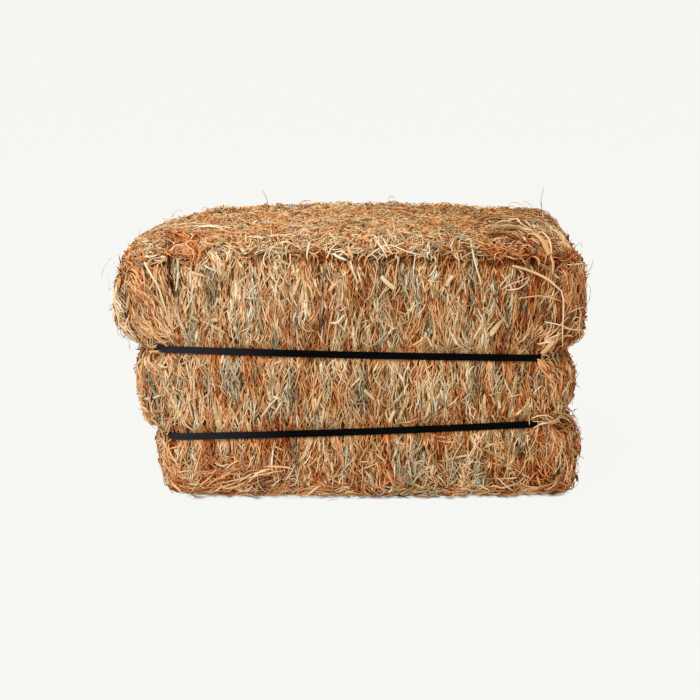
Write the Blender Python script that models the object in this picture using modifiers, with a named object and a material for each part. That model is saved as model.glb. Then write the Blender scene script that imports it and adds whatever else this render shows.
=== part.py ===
"""A bale of wood wool: one pressed block of curled pine strands, held by two black plastic straps.

Metres, +Z up. The origin is on the floor, under the middle of the block. The front face looks along -Y.
"""

import math
import random

import bmesh
import bpy
from mathutils import Vector, noise

# Driving dimensions of the pressed block
TOP_HEIGHT = 0.455
END_LEFT = {"lower": 0.335, "middle": 0.361, "upper": 0.391}
END_RIGHT = {"lower": 0.388, "middle": 0.383, "upper": 0.391}
HALF_DEPTH = 0.186
END_CROWN = 0.007
FACE_CROWN = 0.010
TOP_CROWN_LONG = 0.019
TOP_CROWN_DEEP = 0.005
TOP_CREST = 0.10
DROOP_LEFT = 0.025
DROOP_LEFT_START = 0.62
DROOP_RIGHT = 0.015
DROOP_RIGHT_START = 0.84
DROOP_IN_FRONT = 0.5
CORNER_RADIUS = 0.042
TOP_RADIUS = 0.043
FLOOR_RADIUS = 0.018

# The left end is tucked in below this height, most of all at the floor
TUCK_HEIGHT = 0.044
TUCK_LEFT = 0.033
TUCK_POWER = 1.9

# Straps: heights on the block's middle line, and how much each climbs towards +X
STRAP_HEIGHT = {"lower": 0.122, "upper": 0.2575}
STRAP_CLIMB = {"lower": 0.0370, "upper": -0.0242}
STRAP_LEFT = {"lower": 0.323, "upper": 0.342}
STRAP_RIGHT = {"lower": 0.347, "upper": 0.351}
STRAP_HALF_DEPTH = 0.182
STRAP_WIDTH = 0.012
STRAP_THICKNESS = 0.0008
STRAP_GAP = 0.0005
LAP_LENGTH = 0.075
LAP_OVERLAP = 0.0002
LAP_WIDTH_SHARE = 0.97

# How the wool swells away from a strap
GROOVE_FLOOR = 0.0068
END_SWELL_REACH = 0.046
FACE_SWELL_REACH = 0.024

# Relief of the pressed surface
RIDGE_DEPTH = 0.0120
RIDGE_PITCH = 0.028
RIDGE_RUN = 0.110
LUMP_DEPTH = 0.0070
LUMP_PITCH = 0.060
WANDER = 0.014
WANDER_PITCH = 0.38
WANDER_END = (0.80, 0.92)
RELIEF_FADE = 0.022

# How finely the block is cut: cells along X, along Y and between each pair of straps
CELLS_LONG = 40
CELLS_DEEP = 6
STRAP_CELLS_LONG = 10
ROWS_BETWEEN = {"lower": 1, "middle": 2, "upper": 4}
LONG_CORNER = CORNER_RADIUS / END_RIGHT["upper"]
DEEP_CORNER = CORNER_RADIUS / HALF_DEPTH
CORNER_CUTS = (0.32, 0.66, 1.0)
FLATNESS = 0.00001

# Hollows in the surface: place, radius and depth
HOLLOWS = (
    (Vector((0.315, -0.190, 0.405)), 0.046, 0.013),
    (Vector((-0.250, -0.190, 0.412)), 0.030, 0.007),
    (Vector((0.040, -0.195, 0.418)), 0.034, 0.005),
)

# Locks of strands that stand out of the block, grown together with it
LOCK_SEED = 41
LOCK_SIDES = 5
LOCK_RINGS = 4
LOCK_ROOT_DEPTH = 0.004
LOCK_WIDTH = 0.0105
LOCK_THICKNESS = 0.0062
LOCK_TIP_STAND = -0.0020
LOCK_RUN = (0.06, 0.10)
LOCK_ROOTS = (0.09, 0.41)
LOCK_DRIFT = 0.03
SPREAD_LONG = 0.92
SPREAD_DEEP = 0.77
TOP_LOCK_REACH = (0.15, 0.30)
TOP_LOCK_TURN = 0.9
FRONT_LOCKS = 14
BACK_LOCKS = 12
END_LOCKS = 5
TOP_LOCKS = 7
STRAP_CLEARANCE = 0.017

# Locks that the photograph shows one by one: root and tip as (along, across, height), how far the middle
# and the tip stand off the block, and half the width
SHOWN_LOCKS = (
    ((0.430, -1.0, 0.416), (0.640, -1.0, 0.372), 0.0015, 0.0010, 0.0070),
    ((0.540, -0.80, 0.452), (0.880, -1.0, 0.416), 0.0030, 0.0000, 0.0110),
    ((0.700, -0.62, 0.452), (0.990, -0.84, 0.410), 0.0030, 0.0000, 0.0100),
    ((0.880, 0.70, 0.452), (0.960, 0.50, 0.448), 0.0020, 0.0080, 0.0050),
    ((-0.900, -0.92, 0.424), (-1.000, -0.98, 0.330), 0.0010, 0.0030, 0.0110),
    ((-1.000, -0.76, 0.400), (-1.000, -0.70, 0.304), 0.0020, 0.0040, 0.0100),
    ((-1.000, -0.30, 0.390), (-1.000, -0.44, 0.302), 0.0020, 0.0040, 0.0100),
    ((-1.000, 0.20, 0.380), (-1.000, 0.06, 0.302), -0.0010, 0.0010, 0.0090),
    ((-0.820, -0.95, 0.438), (-0.560, -1.00, 0.412), 0.0020, 0.0000, 0.0095),
    ((0.990, -0.80, 0.106), (1.000, -0.70, 0.044), 0.0010, 0.0040, 0.0090),
    ((1.000, -0.40, 0.100), (1.000, -0.50, 0.040), 0.0010, 0.0040, 0.0080),
    ((-0.860, -1.0, 0.030), (-0.440, -1.0, 0.022), 0.0010, 0.0000, 0.0070),
    ((-0.540, -1.0, 0.050), (-0.120, -1.0, 0.026), 0.0010, 0.0000, 0.0075),
    ((-0.020, -1.0, 0.026), (0.300, -1.0, 0.042), 0.0010, 0.0000, 0.0070),
    ((0.380, -1.0, 0.028), (0.720, -1.0, 0.026), 0.0010, 0.0000, 0.0070),
)

SIDES = {"left": END_LEFT, "right": END_RIGHT}
STRAP_ENDS = {"left": STRAP_LEFT, "right": STRAP_RIGHT}


def clear_scene():
    for item in list(bpy.data.objects):
        bpy.data.objects.remove(item)


def new_collection(name, hidden=False):
    made = bpy.data.collections.new(name)
    bpy.context.scene.collection.children.link(made)
    made.hide_render = hidden
    return made


def plain_material(name, colour, roughness):
    made = bpy.data.materials.new(name)
    made.use_nodes = True
    shader = made.node_tree.nodes["Principled BSDF"]
    shader.inputs["Base Color"].default_value = (*colour, 1.0)
    shader.inputs["Roughness"].default_value = roughness
    shader.inputs["Metallic"].default_value = 0.0
    return made


def smoothstep(low, high, value):
    share = min(1.0, max(0.0, (value - low) / (high - low)))
    return share * share * (3.0 - 2.0 * share)


def between(value, points):
    """Reads a value off straight lines through (place, value) points."""
    for (start, first), (end, second) in zip(points, points[1:]):
        if value <= end:
            share = max(0.0, (value - start) / (end - start))
            return first + (second - first) * share
    return points[-1][1]


def strap_distance(height):
    """How far a height of the untilted block is from the nearer strap's middle, and that strap."""
    return min((abs(height - level), name) for name, level in STRAP_HEIGHT.items())


def swell(distance, reach):
    """0 beside a strap, rising like a quarter circle to 1 where the wool is at its fullest."""
    share = min(1.0, max(0.0, (distance - GROOVE_FLOOR) / reach))
    return math.sqrt(1.0 - (1.0 - share) ** 2)


def lobe_at(height):
    """The name of the lobe that a height of the untilted block lies in."""
    if height < STRAP_HEIGHT["lower"]:
        return "lower"
    return "middle" if height < STRAP_HEIGHT["upper"] else "upper"


def half_length(side, height):
    """From the middle line to the end of the block, on one side, at a height."""
    distance, strap = strap_distance(height)
    waist = STRAP_ENDS[side][strap] - STRAP_GAP
    full = SIDES[side][lobe_at(height)]
    length = waist + (full - waist) * swell(distance, END_SWELL_REACH)
    if side == "left" and height < TUCK_HEIGHT:
        length -= TUCK_LEFT * (1.0 - height / TUCK_HEIGHT) ** TUCK_POWER
    return length


def half_depth(height):
    """From the middle plane to the front or the back face at a height."""
    distance, _ = strap_distance(height)
    waist = STRAP_HALF_DEPTH - STRAP_GAP
    return waist + (HALF_DEPTH - waist) * swell(distance, FACE_SWELL_REACH)


def lift(x, y, height):
    """How far a point of the untilted block rises or drops with the straps and the crowned top."""
    along = x / END_RIGHT["upper"]
    across = y / HALF_DEPTH
    crown = -TOP_CROWN_LONG * (along - TOP_CREST) ** 2 - TOP_CROWN_DEEP * across * across
    crown -= DROOP_RIGHT * smoothstep(DROOP_RIGHT_START, 1.0, along)
    to_rear = DROOP_IN_FRONT + (1.0 - DROOP_IN_FRONT) * (across + 1.0) / 2.0
    crown -= DROOP_LEFT * smoothstep(DROOP_LEFT_START, 1.0, -along) * to_rear
    low = STRAP_CLIMB["lower"] * x
    high = STRAP_CLIMB["upper"] * x
    band = STRAP_WIDTH
    return between(height, (
        (0.0, 0.0),
        (STRAP_HEIGHT["lower"] - band, low),
        (STRAP_HEIGHT["lower"] + band, low),
        (STRAP_HEIGHT["upper"] - band, high),
        (STRAP_HEIGHT["upper"] + band, high),
        (TOP_HEIGHT, crown),
    ))


def crowned(point, length, depth):
    """Bows the ends and the long faces outwards, so that neither is dead flat."""
    along = min(1.0, abs(point.x) / length)
    across = min(1.0, abs(point.y) / depth)
    bow_x = END_CROWN * along ** 4 * (1.0 - across * across)
    bow_y = FACE_CROWN * across ** 4 * (1.0 - along * along)
    return Vector((
        point.x + math.copysign(bow_x, point.x),
        point.y + math.copysign(bow_y, point.y),
        point.z,
    ))


def block_point(along, across, height):
    """A point of the smooth block and its outward direction.

    along and across run from -1 to 1 over the block's length and depth. height is that of the untilted block.
    """
    side = "left" if along < 0.0 else "right"
    length, depth = half_length(side, height), half_depth(height)
    flat = Vector((along * length, across * depth, height))
    inner = Vector((
        max(CORNER_RADIUS - length, min(length - CORNER_RADIUS, flat.x)),
        max(CORNER_RADIUS - depth, min(depth - CORNER_RADIUS, flat.y)),
        max(FLOOR_RADIUS, min(TOP_HEIGHT - TOP_RADIUS, flat.z)),
    ))
    radii = Vector((CORNER_RADIUS, CORNER_RADIUS, FLOOR_RADIUS if height < FLOOR_RADIUS else TOP_RADIUS))
    outward = Vector((
        (flat.x - inner.x) / radii.x,
        (flat.y - inner.y) / radii.y,
        (flat.z - inner.z) / radii.z,
    ))
    outward.normalize()
    rounded = inner + Vector((outward.x * radii.x, outward.y * radii.y, outward.z * radii.z))
    point = crowned(rounded, length, depth)
    point.z += lift(point.x, point.y, height)
    return point, outward


def relief(point, outward, height):
    """How far the wool stands out of the smooth block: upright ridges, lumps and a few hollows."""
    distance, _ = strap_distance(height)
    calm = smoothstep(GROOVE_FLOOR, RELIEF_FADE, distance)
    calm *= 1.0 - smoothstep(0.2, 0.7, -outward.z)
    upright = 1.0 - abs(outward.z)
    ridges = noise.noise(Vector((point.x / RIDGE_PITCH, point.y / RIDGE_PITCH, point.z / RIDGE_RUN)))
    lumps = noise.noise(point / LUMP_PITCH + Vector((7.0, 3.0, 5.0)))
    out = RIDGE_DEPTH * ridges * upright + LUMP_DEPTH * lumps
    for centre, radius, depth in HOLLOWS:
        near = (point - centre).length / radius
        out -= depth * (1.0 - smoothstep(0.3, 1.0, near))
    return out * calm


def wool_surface(along, across, height):
    """A point of the finished block and its outward direction."""
    point, outward = block_point(along, across, height)
    return point + outward * relief(point, outward, height), outward


def wander(point, height):
    """A sideways drift of the ridges as a share of the length, so that they wind. None beside a strap."""
    calm = smoothstep(GROOVE_FLOOR, RELIEF_FADE, strap_distance(height)[0])
    calm *= smoothstep(0.0, FLOOR_RADIUS, height)
    calm *= 1.0 - smoothstep(*WANDER_END, abs(point.x))
    return WANDER * calm * noise.noise(point / WANDER_PITCH)


def even_cuts(count):
    return [-1.0 + 2.0 * step / count for step in range(1, count)]


def with_corner_cuts(cuts, corner):
    """Adds cuts near both ends of a side, where the corner is round."""
    extra = [1.0 - corner * share for share in CORNER_CUTS]
    kept = [cut for cut in cuts if abs(cut) < 1.0 - corner * 1.15]
    return sorted(kept + extra + [-cut for cut in extra])


def row_cuts():
    """Heights where the block is cut: at both edges of each strap's groove, and evenly in between."""
    low, high = STRAP_HEIGHT["lower"], STRAP_HEIGHT["upper"]
    groove, shoulder = GROOVE_FLOOR, RELIEF_FADE
    spans = (
        ("lower", FLOOR_RADIUS, low - shoulder),
        ("middle", low + shoulder, high - shoulder),
        ("upper", high + shoulder, TOP_HEIGHT - TOP_RADIUS),
    )
    rows = [FLOOR_RADIUS * 0.35, TOP_HEIGHT - TOP_RADIUS * 0.62, TOP_HEIGHT - TOP_RADIUS * 0.25]
    for level in (low, high):
        rows += [level - shoulder, level - groove, level + groove, level + shoulder]
    for name, start, end in spans:
        steps = ROWS_BETWEEN[name]
        rows += [start + (end - start) * step / steps for step in range(steps + 1)]
    rows.sort()
    return [rows[0]] + [b for a, b in zip(rows, rows[1:]) if b - a > 1e-5]


def cut_all(mesh, place, direction):
    bmesh.ops.bisect_plane(
        mesh,
        geom=mesh.verts[:] + mesh.edges[:] + mesh.faces[:],
        plane_co=place,
        plane_no=direction,
    )


def make_block(collection):
    """A box cut into rows and columns, with each corner point then moved onto the block's surface."""
    mesh = bmesh.new()
    bmesh.ops.create_cube(mesh, size=2.0)
    for point in mesh.verts:
        point.co.z = (point.co.z + 1.0) * TOP_HEIGHT / 2.0
    for cut in with_corner_cuts(even_cuts(CELLS_LONG), LONG_CORNER):
        cut_all(mesh, (cut, 0, 0), (1, 0, 0))
    for cut in with_corner_cuts(even_cuts(CELLS_DEEP), DEEP_CORNER):
        cut_all(mesh, (0, cut, 0), (0, 1, 0))
    for cut in row_cuts():
        cut_all(mesh, (0, 0, cut), (0, 0, 1))
    for point in mesh.verts:
        height = point.co.z
        along = point.co.x + wander(point.co, height)
        point.co = wool_surface(along, point.co.y, height)[0]
    flat_edges = [edge for edge in mesh.edges if all(face_is_under(face) for face in edge.link_faces)]
    bmesh.ops.dissolve_edges(mesh, edges=flat_edges, use_verts=True)
    return object_from(mesh, "wood_wool", collection)


def face_is_under(face):
    return all(abs(corner.co.z) < FLATNESS for corner in face.verts)


def object_from(mesh, name, collection):
    data = bpy.data.meshes.new(name)
    mesh.to_mesh(data)
    mesh.free()
    made = bpy.data.objects.new(name, data)
    collection.objects.link(made)
    return made


def lock_place(root, tip, share, middle_stand, tip_stand):
    """The middle of one lock at a share of its run, from its root in the wool, along the face, to its tip."""
    point, outward = wool_surface(*Vector(root).lerp(Vector(tip), share))
    stand = between(share, (
        (0.0, -LOCK_ROOT_DEPTH),
        (0.3, middle_stand),
        (0.7, middle_stand),
        (1.0, tip_stand),
    ))
    return point + outward * stand, outward


def make_lock(name, ends, stands, width, collection):
    """A flat tapered lock of strands, laid along the face: a stretched sphere bent to the lock's run."""
    mesh = bmesh.new()
    bmesh.ops.create_uvsphere(mesh, u_segments=LOCK_SIDES, v_segments=LOCK_RINGS, radius=1.0)
    start = lock_place(*ends, 0.0, *stands)[0]
    run = (lock_place(*ends, 1.0, *stands)[0] - start).normalized()
    for corner in mesh.verts:
        share = (1.0 - corner.co.z) / 2.0
        place, outward = lock_place(*ends, share, *stands)
        sideways = run.cross(outward).normalized()
        corner.co = place + sideways * corner.co.x * width + outward * corner.co.y * LOCK_THICKNESS
    bmesh.ops.recalc_face_normals(mesh, faces=mesh.faces[:])
    return object_from(mesh, name, collection)


def clear_of_straps(root, tip):
    """True if a lock between these two heights stays within one lobe, off the straps."""
    return all(
        strap_distance(height)[0] > STRAP_CLEARANCE for height in (root, (root + tip) / 2.0, tip)
    ) and lobe_at(root) == lobe_at(tip)


def hanging_locks(chance, count, place_at):
    """Locks that hang down an upright face. place_at gives (along, across) for a share from -1 to 1."""
    found = []
    while len(found) < count:
        share = 2.0 * (len(found) + chance.uniform(0.1, 0.9)) / count - 1.0
        drift = share + 2.0 * chance.uniform(-LOCK_DRIFT, LOCK_DRIFT)
        root = chance.uniform(*LOCK_ROOTS)
        tip = root - chance.uniform(*LOCK_RUN)
        if tip > FLOOR_RADIUS and clear_of_straps(root, tip):
            ends = (*place_at(share), root), (*place_at(drift), tip)
            found.append((*ends, 0.0, LOCK_TIP_STAND, LOCK_WIDTH * chance.uniform(0.8, 1.25)))
    return found


def scattered_locks(chance):
    """Seeded locks over the front, the back and both ends, and flat ones over the top."""
    found = hanging_locks(chance, FRONT_LOCKS, lambda share: (SPREAD_LONG * share, -1.0))
    found += hanging_locks(chance, BACK_LOCKS, lambda share: (SPREAD_LONG * share, 1.0))
    found += hanging_locks(chance, END_LOCKS, lambda share: (-1.0, SPREAD_DEEP * share))
    found += hanging_locks(chance, END_LOCKS, lambda share: (1.0, SPREAD_DEEP * share))
    for number in range(TOP_LOCKS):
        turn = chance.uniform(-TOP_LOCK_TURN, TOP_LOCK_TURN)
        along = SPREAD_LONG * (2.0 * (number + 0.5) / TOP_LOCKS - 1.0)
        across = chance.uniform(-0.5, 0.7)
        tip_along = along + TOP_LOCK_REACH[0] * math.cos(turn)
        tip_across = across + TOP_LOCK_REACH[1] * math.sin(turn)
        ends = (along, across, TOP_HEIGHT), (min(1.0, tip_along), tip_across, TOP_HEIGHT)
        found.append((*ends, 0.0, LOCK_TIP_STAND, LOCK_WIDTH))
    return found


def add_locks(block, locks):
    """Joins every lock to the block, so that the wool stays one piece."""
    chance = random.Random(LOCK_SEED)
    every = list(SHOWN_LOCKS) + scattered_locks(chance)
    for number, (root, tip, middle_stand, tip_stand, width) in enumerate(every, 1):
        helper(make_lock(f"lock_{number:02d}", (root, tip), (middle_stand, tip_stand), width, locks))
    added = block.modifiers.new("Locks", "BOOLEAN")
    added.operation = "UNION"
    added.operand_type = "COLLECTION"
    added.collection = locks


def helper(item):
    """Marks an object that only cuts or joins."""
    item.hide_render = True
    item.display_type = "WIRE"


def strap_outline(strap):
    """The strap's closed line round the block, with the outward direction at each point."""
    height = STRAP_HEIGHT[strap]
    long_cuts = [-1.0] + with_corner_cuts(even_cuts(STRAP_CELLS_LONG), LONG_CORNER) + [1.0]
    deep_cuts = [-1.0] + with_corner_cuts(even_cuts(CELLS_DEEP), DEEP_CORNER) + [1.0]
    ring = [(cut, -1.0) for cut in long_cuts]
    ring += [(1.0, cut) for cut in deep_cuts[1:]]
    ring += [(cut, 1.0) for cut in reversed(long_cuts[:-1])]
    ring += [(-1.0, cut) for cut in reversed(deep_cuts[1:-1])]
    return [block_point(along, across, height) for along, across in ring]


def band(points, lower_z, upper_z, closed):
    """An open upright ribbon through the points, one quad between each pair."""
    mesh = bmesh.new()
    rails = [
        (mesh.verts.new((p.x, p.y, p.z + lower_z)), mesh.verts.new((p.x, p.y, p.z + upper_z)))
        for p in points
    ]
    pairs = list(zip(rails, rails[1:] + rails[:1])) if closed else list(zip(rails, rails[1:]))
    for (low, high), (next_low, next_high) in pairs:
        mesh.faces.new((low, next_low, next_high, high))
    return mesh


def thicken(item, thickness):
    shell = item.modifiers.new("Thickness", "SOLIDIFY")
    shell.thickness = thickness
    shell.offset = 1.0
    shell.use_even_offset = True


def make_strap(strap, collection, cutters):
    """A flat band that follows the groove, with its two ends lapped and welded in the middle of the back."""
    outline = strap_outline(strap)
    inner = [point + outward * STRAP_GAP for point, outward in outline]
    half = STRAP_WIDTH / 2.0
    made = object_from(band(inner, -half, half, closed=True), f"strap_{strap}", collection)
    thicken(made, STRAP_THICKNESS)

    reach = STRAP_THICKNESS + STRAP_GAP - LAP_OVERLAP
    back = [(p, n) for p, n in outline if n.y > 0.99 and abs(p.x) < LAP_LENGTH / 2.0]
    lap_line = [p + n * reach for p, n in back]
    lap_half = half * LAP_WIDTH_SHARE
    lap = object_from(band(lap_line, -lap_half, lap_half, closed=False), f"lap_{strap}", cutters)
    thicken(lap, STRAP_THICKNESS)
    helper(lap)
    weld = made.modifiers.new("Weld of the lap", "BOOLEAN")
    weld.operation = "UNION"
    weld.object = lap
    return made


def paint(item, material):
    item.data.materials.clear()
    item.data.materials.append(material)


def main():
    clear_scene()
    bale = new_collection("wood_wool_bale")
    cutters = new_collection("cutters", hidden=True)

    wool = plain_material("pressed_wood_wool", (0.62, 0.38, 0.20), 0.85)
    plastic = plain_material("black_strap", (0.010, 0.010, 0.012), 0.38)

    block = make_block(bale)
    add_locks(block, new_collection("locks", hidden=True))
    paint(block, wool)
    for strap in STRAP_HEIGHT:
        paint(make_strap(strap, bale, cutters), plastic)


main()
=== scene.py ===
import math
import random

import bmesh
import bpy
import numpy as np
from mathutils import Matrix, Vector, noise
from mathutils.bvhtree import BVHTree


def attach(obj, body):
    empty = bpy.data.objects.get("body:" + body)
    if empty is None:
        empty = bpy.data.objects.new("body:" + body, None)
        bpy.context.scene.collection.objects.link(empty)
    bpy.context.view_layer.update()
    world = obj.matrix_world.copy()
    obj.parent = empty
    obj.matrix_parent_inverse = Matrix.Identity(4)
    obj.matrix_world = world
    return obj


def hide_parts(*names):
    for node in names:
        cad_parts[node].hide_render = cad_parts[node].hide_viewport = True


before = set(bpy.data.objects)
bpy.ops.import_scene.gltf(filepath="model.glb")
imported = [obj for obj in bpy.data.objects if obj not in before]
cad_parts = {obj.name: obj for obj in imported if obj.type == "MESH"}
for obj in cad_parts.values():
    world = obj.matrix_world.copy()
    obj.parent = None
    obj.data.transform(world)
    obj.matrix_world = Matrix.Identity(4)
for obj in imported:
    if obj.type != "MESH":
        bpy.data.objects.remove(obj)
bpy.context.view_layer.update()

scene = bpy.context.scene
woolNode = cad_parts["wood_wool"]


# camera: the photograph's place and lens

camera = {
    "place": (-0.001, -2.69, 0.954),
    "pitch": 15.4,        # degrees below level
    "focalPixels": 1555,  # for an image imagePixels wide
    "imagePixels": 700,
    "sensor": 36.0,
}


def makeCamera(look):
    data = bpy.data.cameras.new("photoCamera")
    data.sensor_width = look["sensor"]
    data.lens = look["focalPixels"] / look["imagePixels"] * look["sensor"]
    data.clip_end = 200.0
    cam = bpy.data.objects.new("photoCamera", data)
    scene.collection.objects.link(cam)
    cam.location = look["place"]
    cam.rotation_euler = (math.radians(90.0 - look["pitch"]), 0.0, 0.0)
    scene.camera = cam


def pixelRay(px, py):
    # from the camera through a pixel of the square photograph
    middle = camera["imagePixels"] / 2.0
    pitch = math.radians(camera["pitch"])
    right = Vector((1, 0, 0))
    ahead = Vector((0, math.cos(pitch), -math.sin(pitch)))
    up = Vector((0, math.sin(pitch), math.cos(pitch)))
    ray = ahead * camera["focalPixels"] + right * (px - middle) + up * (middle - py)
    return Vector(camera["place"]), ray.normalized()


makeCamera(camera)
print("camera set")


# the guide: a smoothed skin of the CAD block that the strands are laid on

guide = {
    "voxel": 0.0065,
    "smoothing": 4,
    "top": (0.40, 0.62),        # the top lies above this height and looks up by at least this much
    "underside": (0.03, -0.6),  # the underside lies below, and looks down
}


def readTriples(items, name, kind=float):
    values = np.empty(len(items) * 3, dtype=kind)
    items.foreach_get(name, values)
    return values.reshape(-1, 3)


def skinCopy(source, name, voxel, smoothing, inset=0.0):
    # an even, smoothed copy of a solid, inset metres inside it
    mesh = source.data.copy()
    skin = bpy.data.objects.new(name, mesh)
    scene.collection.objects.link(skin)
    remesh = skin.modifiers.new("remesh", "REMESH")
    remesh.mode = "VOXEL"
    remesh.voxel_size = voxel
    smooth = skin.modifiers.new("smooth", "SMOOTH")
    smooth.factor = 0.5
    smooth.iterations = smoothing
    bpy.context.view_layer.update()
    final = bpy.data.meshes.new_from_object(skin.evaluated_get(bpy.context.evaluated_depsgraph_get()))
    skin.modifiers.clear()
    skin.data = final
    bpy.data.meshes.remove(mesh)
    if inset:
        places = readTriples(final.vertices, "co") - readTriples(final.vertices, "normal") * inset
        final.vertices.foreach_set("co", places.ravel())
        final.update()
    return skin


guideSkin = skinCopy(woolNode, "guideSkin", guide["voxel"], guide["smoothing"])
guideMesh = guideSkin.data
guideMesh.calc_loop_triangles()
guideVerts = readTriples(guideMesh.vertices, "co")
guideNormals = readTriples(guideMesh.vertices, "normal")
guideTris = readTriples(guideMesh.loop_triangles, "vertices", np.int64)
guideTree = BVHTree.FromPolygons([Vector(v) for v in guideVerts], guideTris.tolist())
bpy.data.objects.remove(guideSkin)

cornerA, cornerB, cornerC = (guideVerts[guideTris[:, k]] for k in range(3))
triArea = np.linalg.norm(np.cross(cornerB - cornerA, cornerC - cornerA), axis=1) / 2.0
triNormal = guideNormals[guideTris].mean(axis=1)
triNormal /= np.linalg.norm(triNormal, axis=1)[:, None]
triMiddle = (cornerA + cornerB + cornerC) / 3.0
print("guide skin", len(guideTris), "triangles,", round(float(triArea.sum()), 3), "square metres")


def zoneOf(normal, middle):
    sideways = np.where(np.abs(normal[:, 0]) > np.abs(normal[:, 1]),
                        np.where(normal[:, 0] < 0, "leftEnd", "rightEnd"),
                        np.where(normal[:, 1] < 0, "front", "back"))
    height, up = middle[:, 2], normal[:, 2]
    zone = np.where((height > guide["top"][0]) & (up > guide["top"][1]), "top", sideways)
    return np.where((height < guide["underside"][0]) & (up < guide["underside"][1]), "underside", zone)


triZone = zoneOf(triNormal, triMiddle)  # the lips and the foot are marked later


def rise(values, ends):
    # from 0 at the first end to 1 at the second, and 1 everywhere where there are no ends
    if ends is None:
        return 1.0
    return np.clip((values - ends[0]) / (ends[1] - ends[0]), 0.0, 1.0)


# where the straps run, so that the strands dive under them

strapLines = {
    "upper": (0.2575, -0.0242),       # height at the middle and climb towards +X
    "lower": (0.1220, 0.0370),
    "split": 0.19,                    # a height between the two
    "reach": 0.0078,                  # half of a strap's width and a little more
    "tucked": -0.0021,                # beside a strap no strand is higher than this over the skin
    "slope": 0.50,                    # how steeply strands may rise from there
    "upperCorners": (-0.328, 0.319),  # x beyond which the wool closes over the strap
    "lowerCorners": (-0.305, 0.322),
    "cornerSide": 0.125,
    "cornerFade": (0.0, 0.006),
    "cornerCover": 0.0075,
}


def strapDistance(x, z):
    upper = np.abs(z - (strapLines["upper"][0] + strapLines["upper"][1] * x))
    lower = np.abs(z - (strapLines["lower"][0] + strapLines["lower"][1] * x))
    return np.minimum(upper, lower)


def overStrap(x, y, z):
    # at the four upright corners the wool closes over the straps
    left, right = (np.where(z > strapLines["split"], upper, lower)
                   for upper, lower in zip(strapLines["upperCorners"], strapLines["lowerCorners"]))
    beyond = np.maximum(left - x, x - right)
    cover = rise(beyond, strapLines["cornerFade"]) * strapLines["cornerCover"]
    return np.where(np.abs(y) > strapLines["cornerSide"], cover, 0.0)


# strands: laid along the skin, then given a thin three-sided body

def layStrands(roots, normals, headings, steps, turns, segments):
    # walks along the guide skin from each root and returns the places and outward directions
    count = len(roots)
    places = np.empty((count, segments + 1, 3))
    outward = np.empty((count, segments + 1, 3))
    for i in range(count):
        place = Vector(roots[i])
        normal = Vector(normals[i])
        heading = Vector(headings[i])
        places[i, 0] = place
        outward[i, 0] = normal
        step = steps[i]
        for k in range(segments):
            side = normal.cross(heading)
            heading = heading + side * turns[i, k]
            heading -= normal * heading.dot(normal)
            heading.normalize()
            near, found, _, _ = guideTree.find_nearest(place + heading * step)
            place = near
            normal = (normal + found).normalized()
            places[i, k + 1] = place
            outward[i, k + 1] = normal
    return places, outward


def mapStrands(mesh, count, rings):
    # each strand gets its own cell of the map, six times as tall as wide, so that its colour can be
    # kept in an image: its three sides stand side by side, with a cap under and over them
    margin, sideStart, sideWidth, capHeight = 0.06, 0.08, 0.28, 0.04
    face = np.arange(3)[None, None, :]
    columns = max(1, int(math.ceil(math.sqrt(count * 6.0))))
    rows = int(math.ceil(count / columns))
    cellX = (np.arange(count) % columns) / columns
    cellY = (np.arange(count) // columns) / rows
    wideCell, tallCell = 1.0 / columns, 1.0 / rows
    span = margin + (1.0 - 2.0 * margin) * np.arange(rings) / (rings - 1)
    v0 = cellY[:, None, None] + tallCell * span[None, :-1, None] + 0.0 * face
    v1 = cellY[:, None, None] + tallCell * span[None, 1:, None] + 0.0 * face
    u0 = cellX[:, None, None] + wideCell * (sideStart + sideWidth * face) + 0.0 * v0
    u1 = u0 + wideCell * sideWidth
    quadMap = np.stack((u0, v0, u1, v0, u1, v1, u0, v1), axis=-1).reshape(-1)
    low, high = cellY + tallCell * margin, cellY + tallCell * (1.0 - margin)
    left, mid, right = (cellX + wideCell * share for share in (0.2, 0.5, 0.8))
    startMap = np.stack((right, low, mid, low - tallCell * capHeight, left, low), axis=-1)
    endMap = np.stack((left, high, right, high, mid, high + tallCell * capHeight), axis=-1)
    layer = mesh.uv_layers.new(name="OFBake")
    layer.data.foreach_set("uv", np.concatenate((quadMap, startMap.ravel(), endMap.ravel())))


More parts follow.
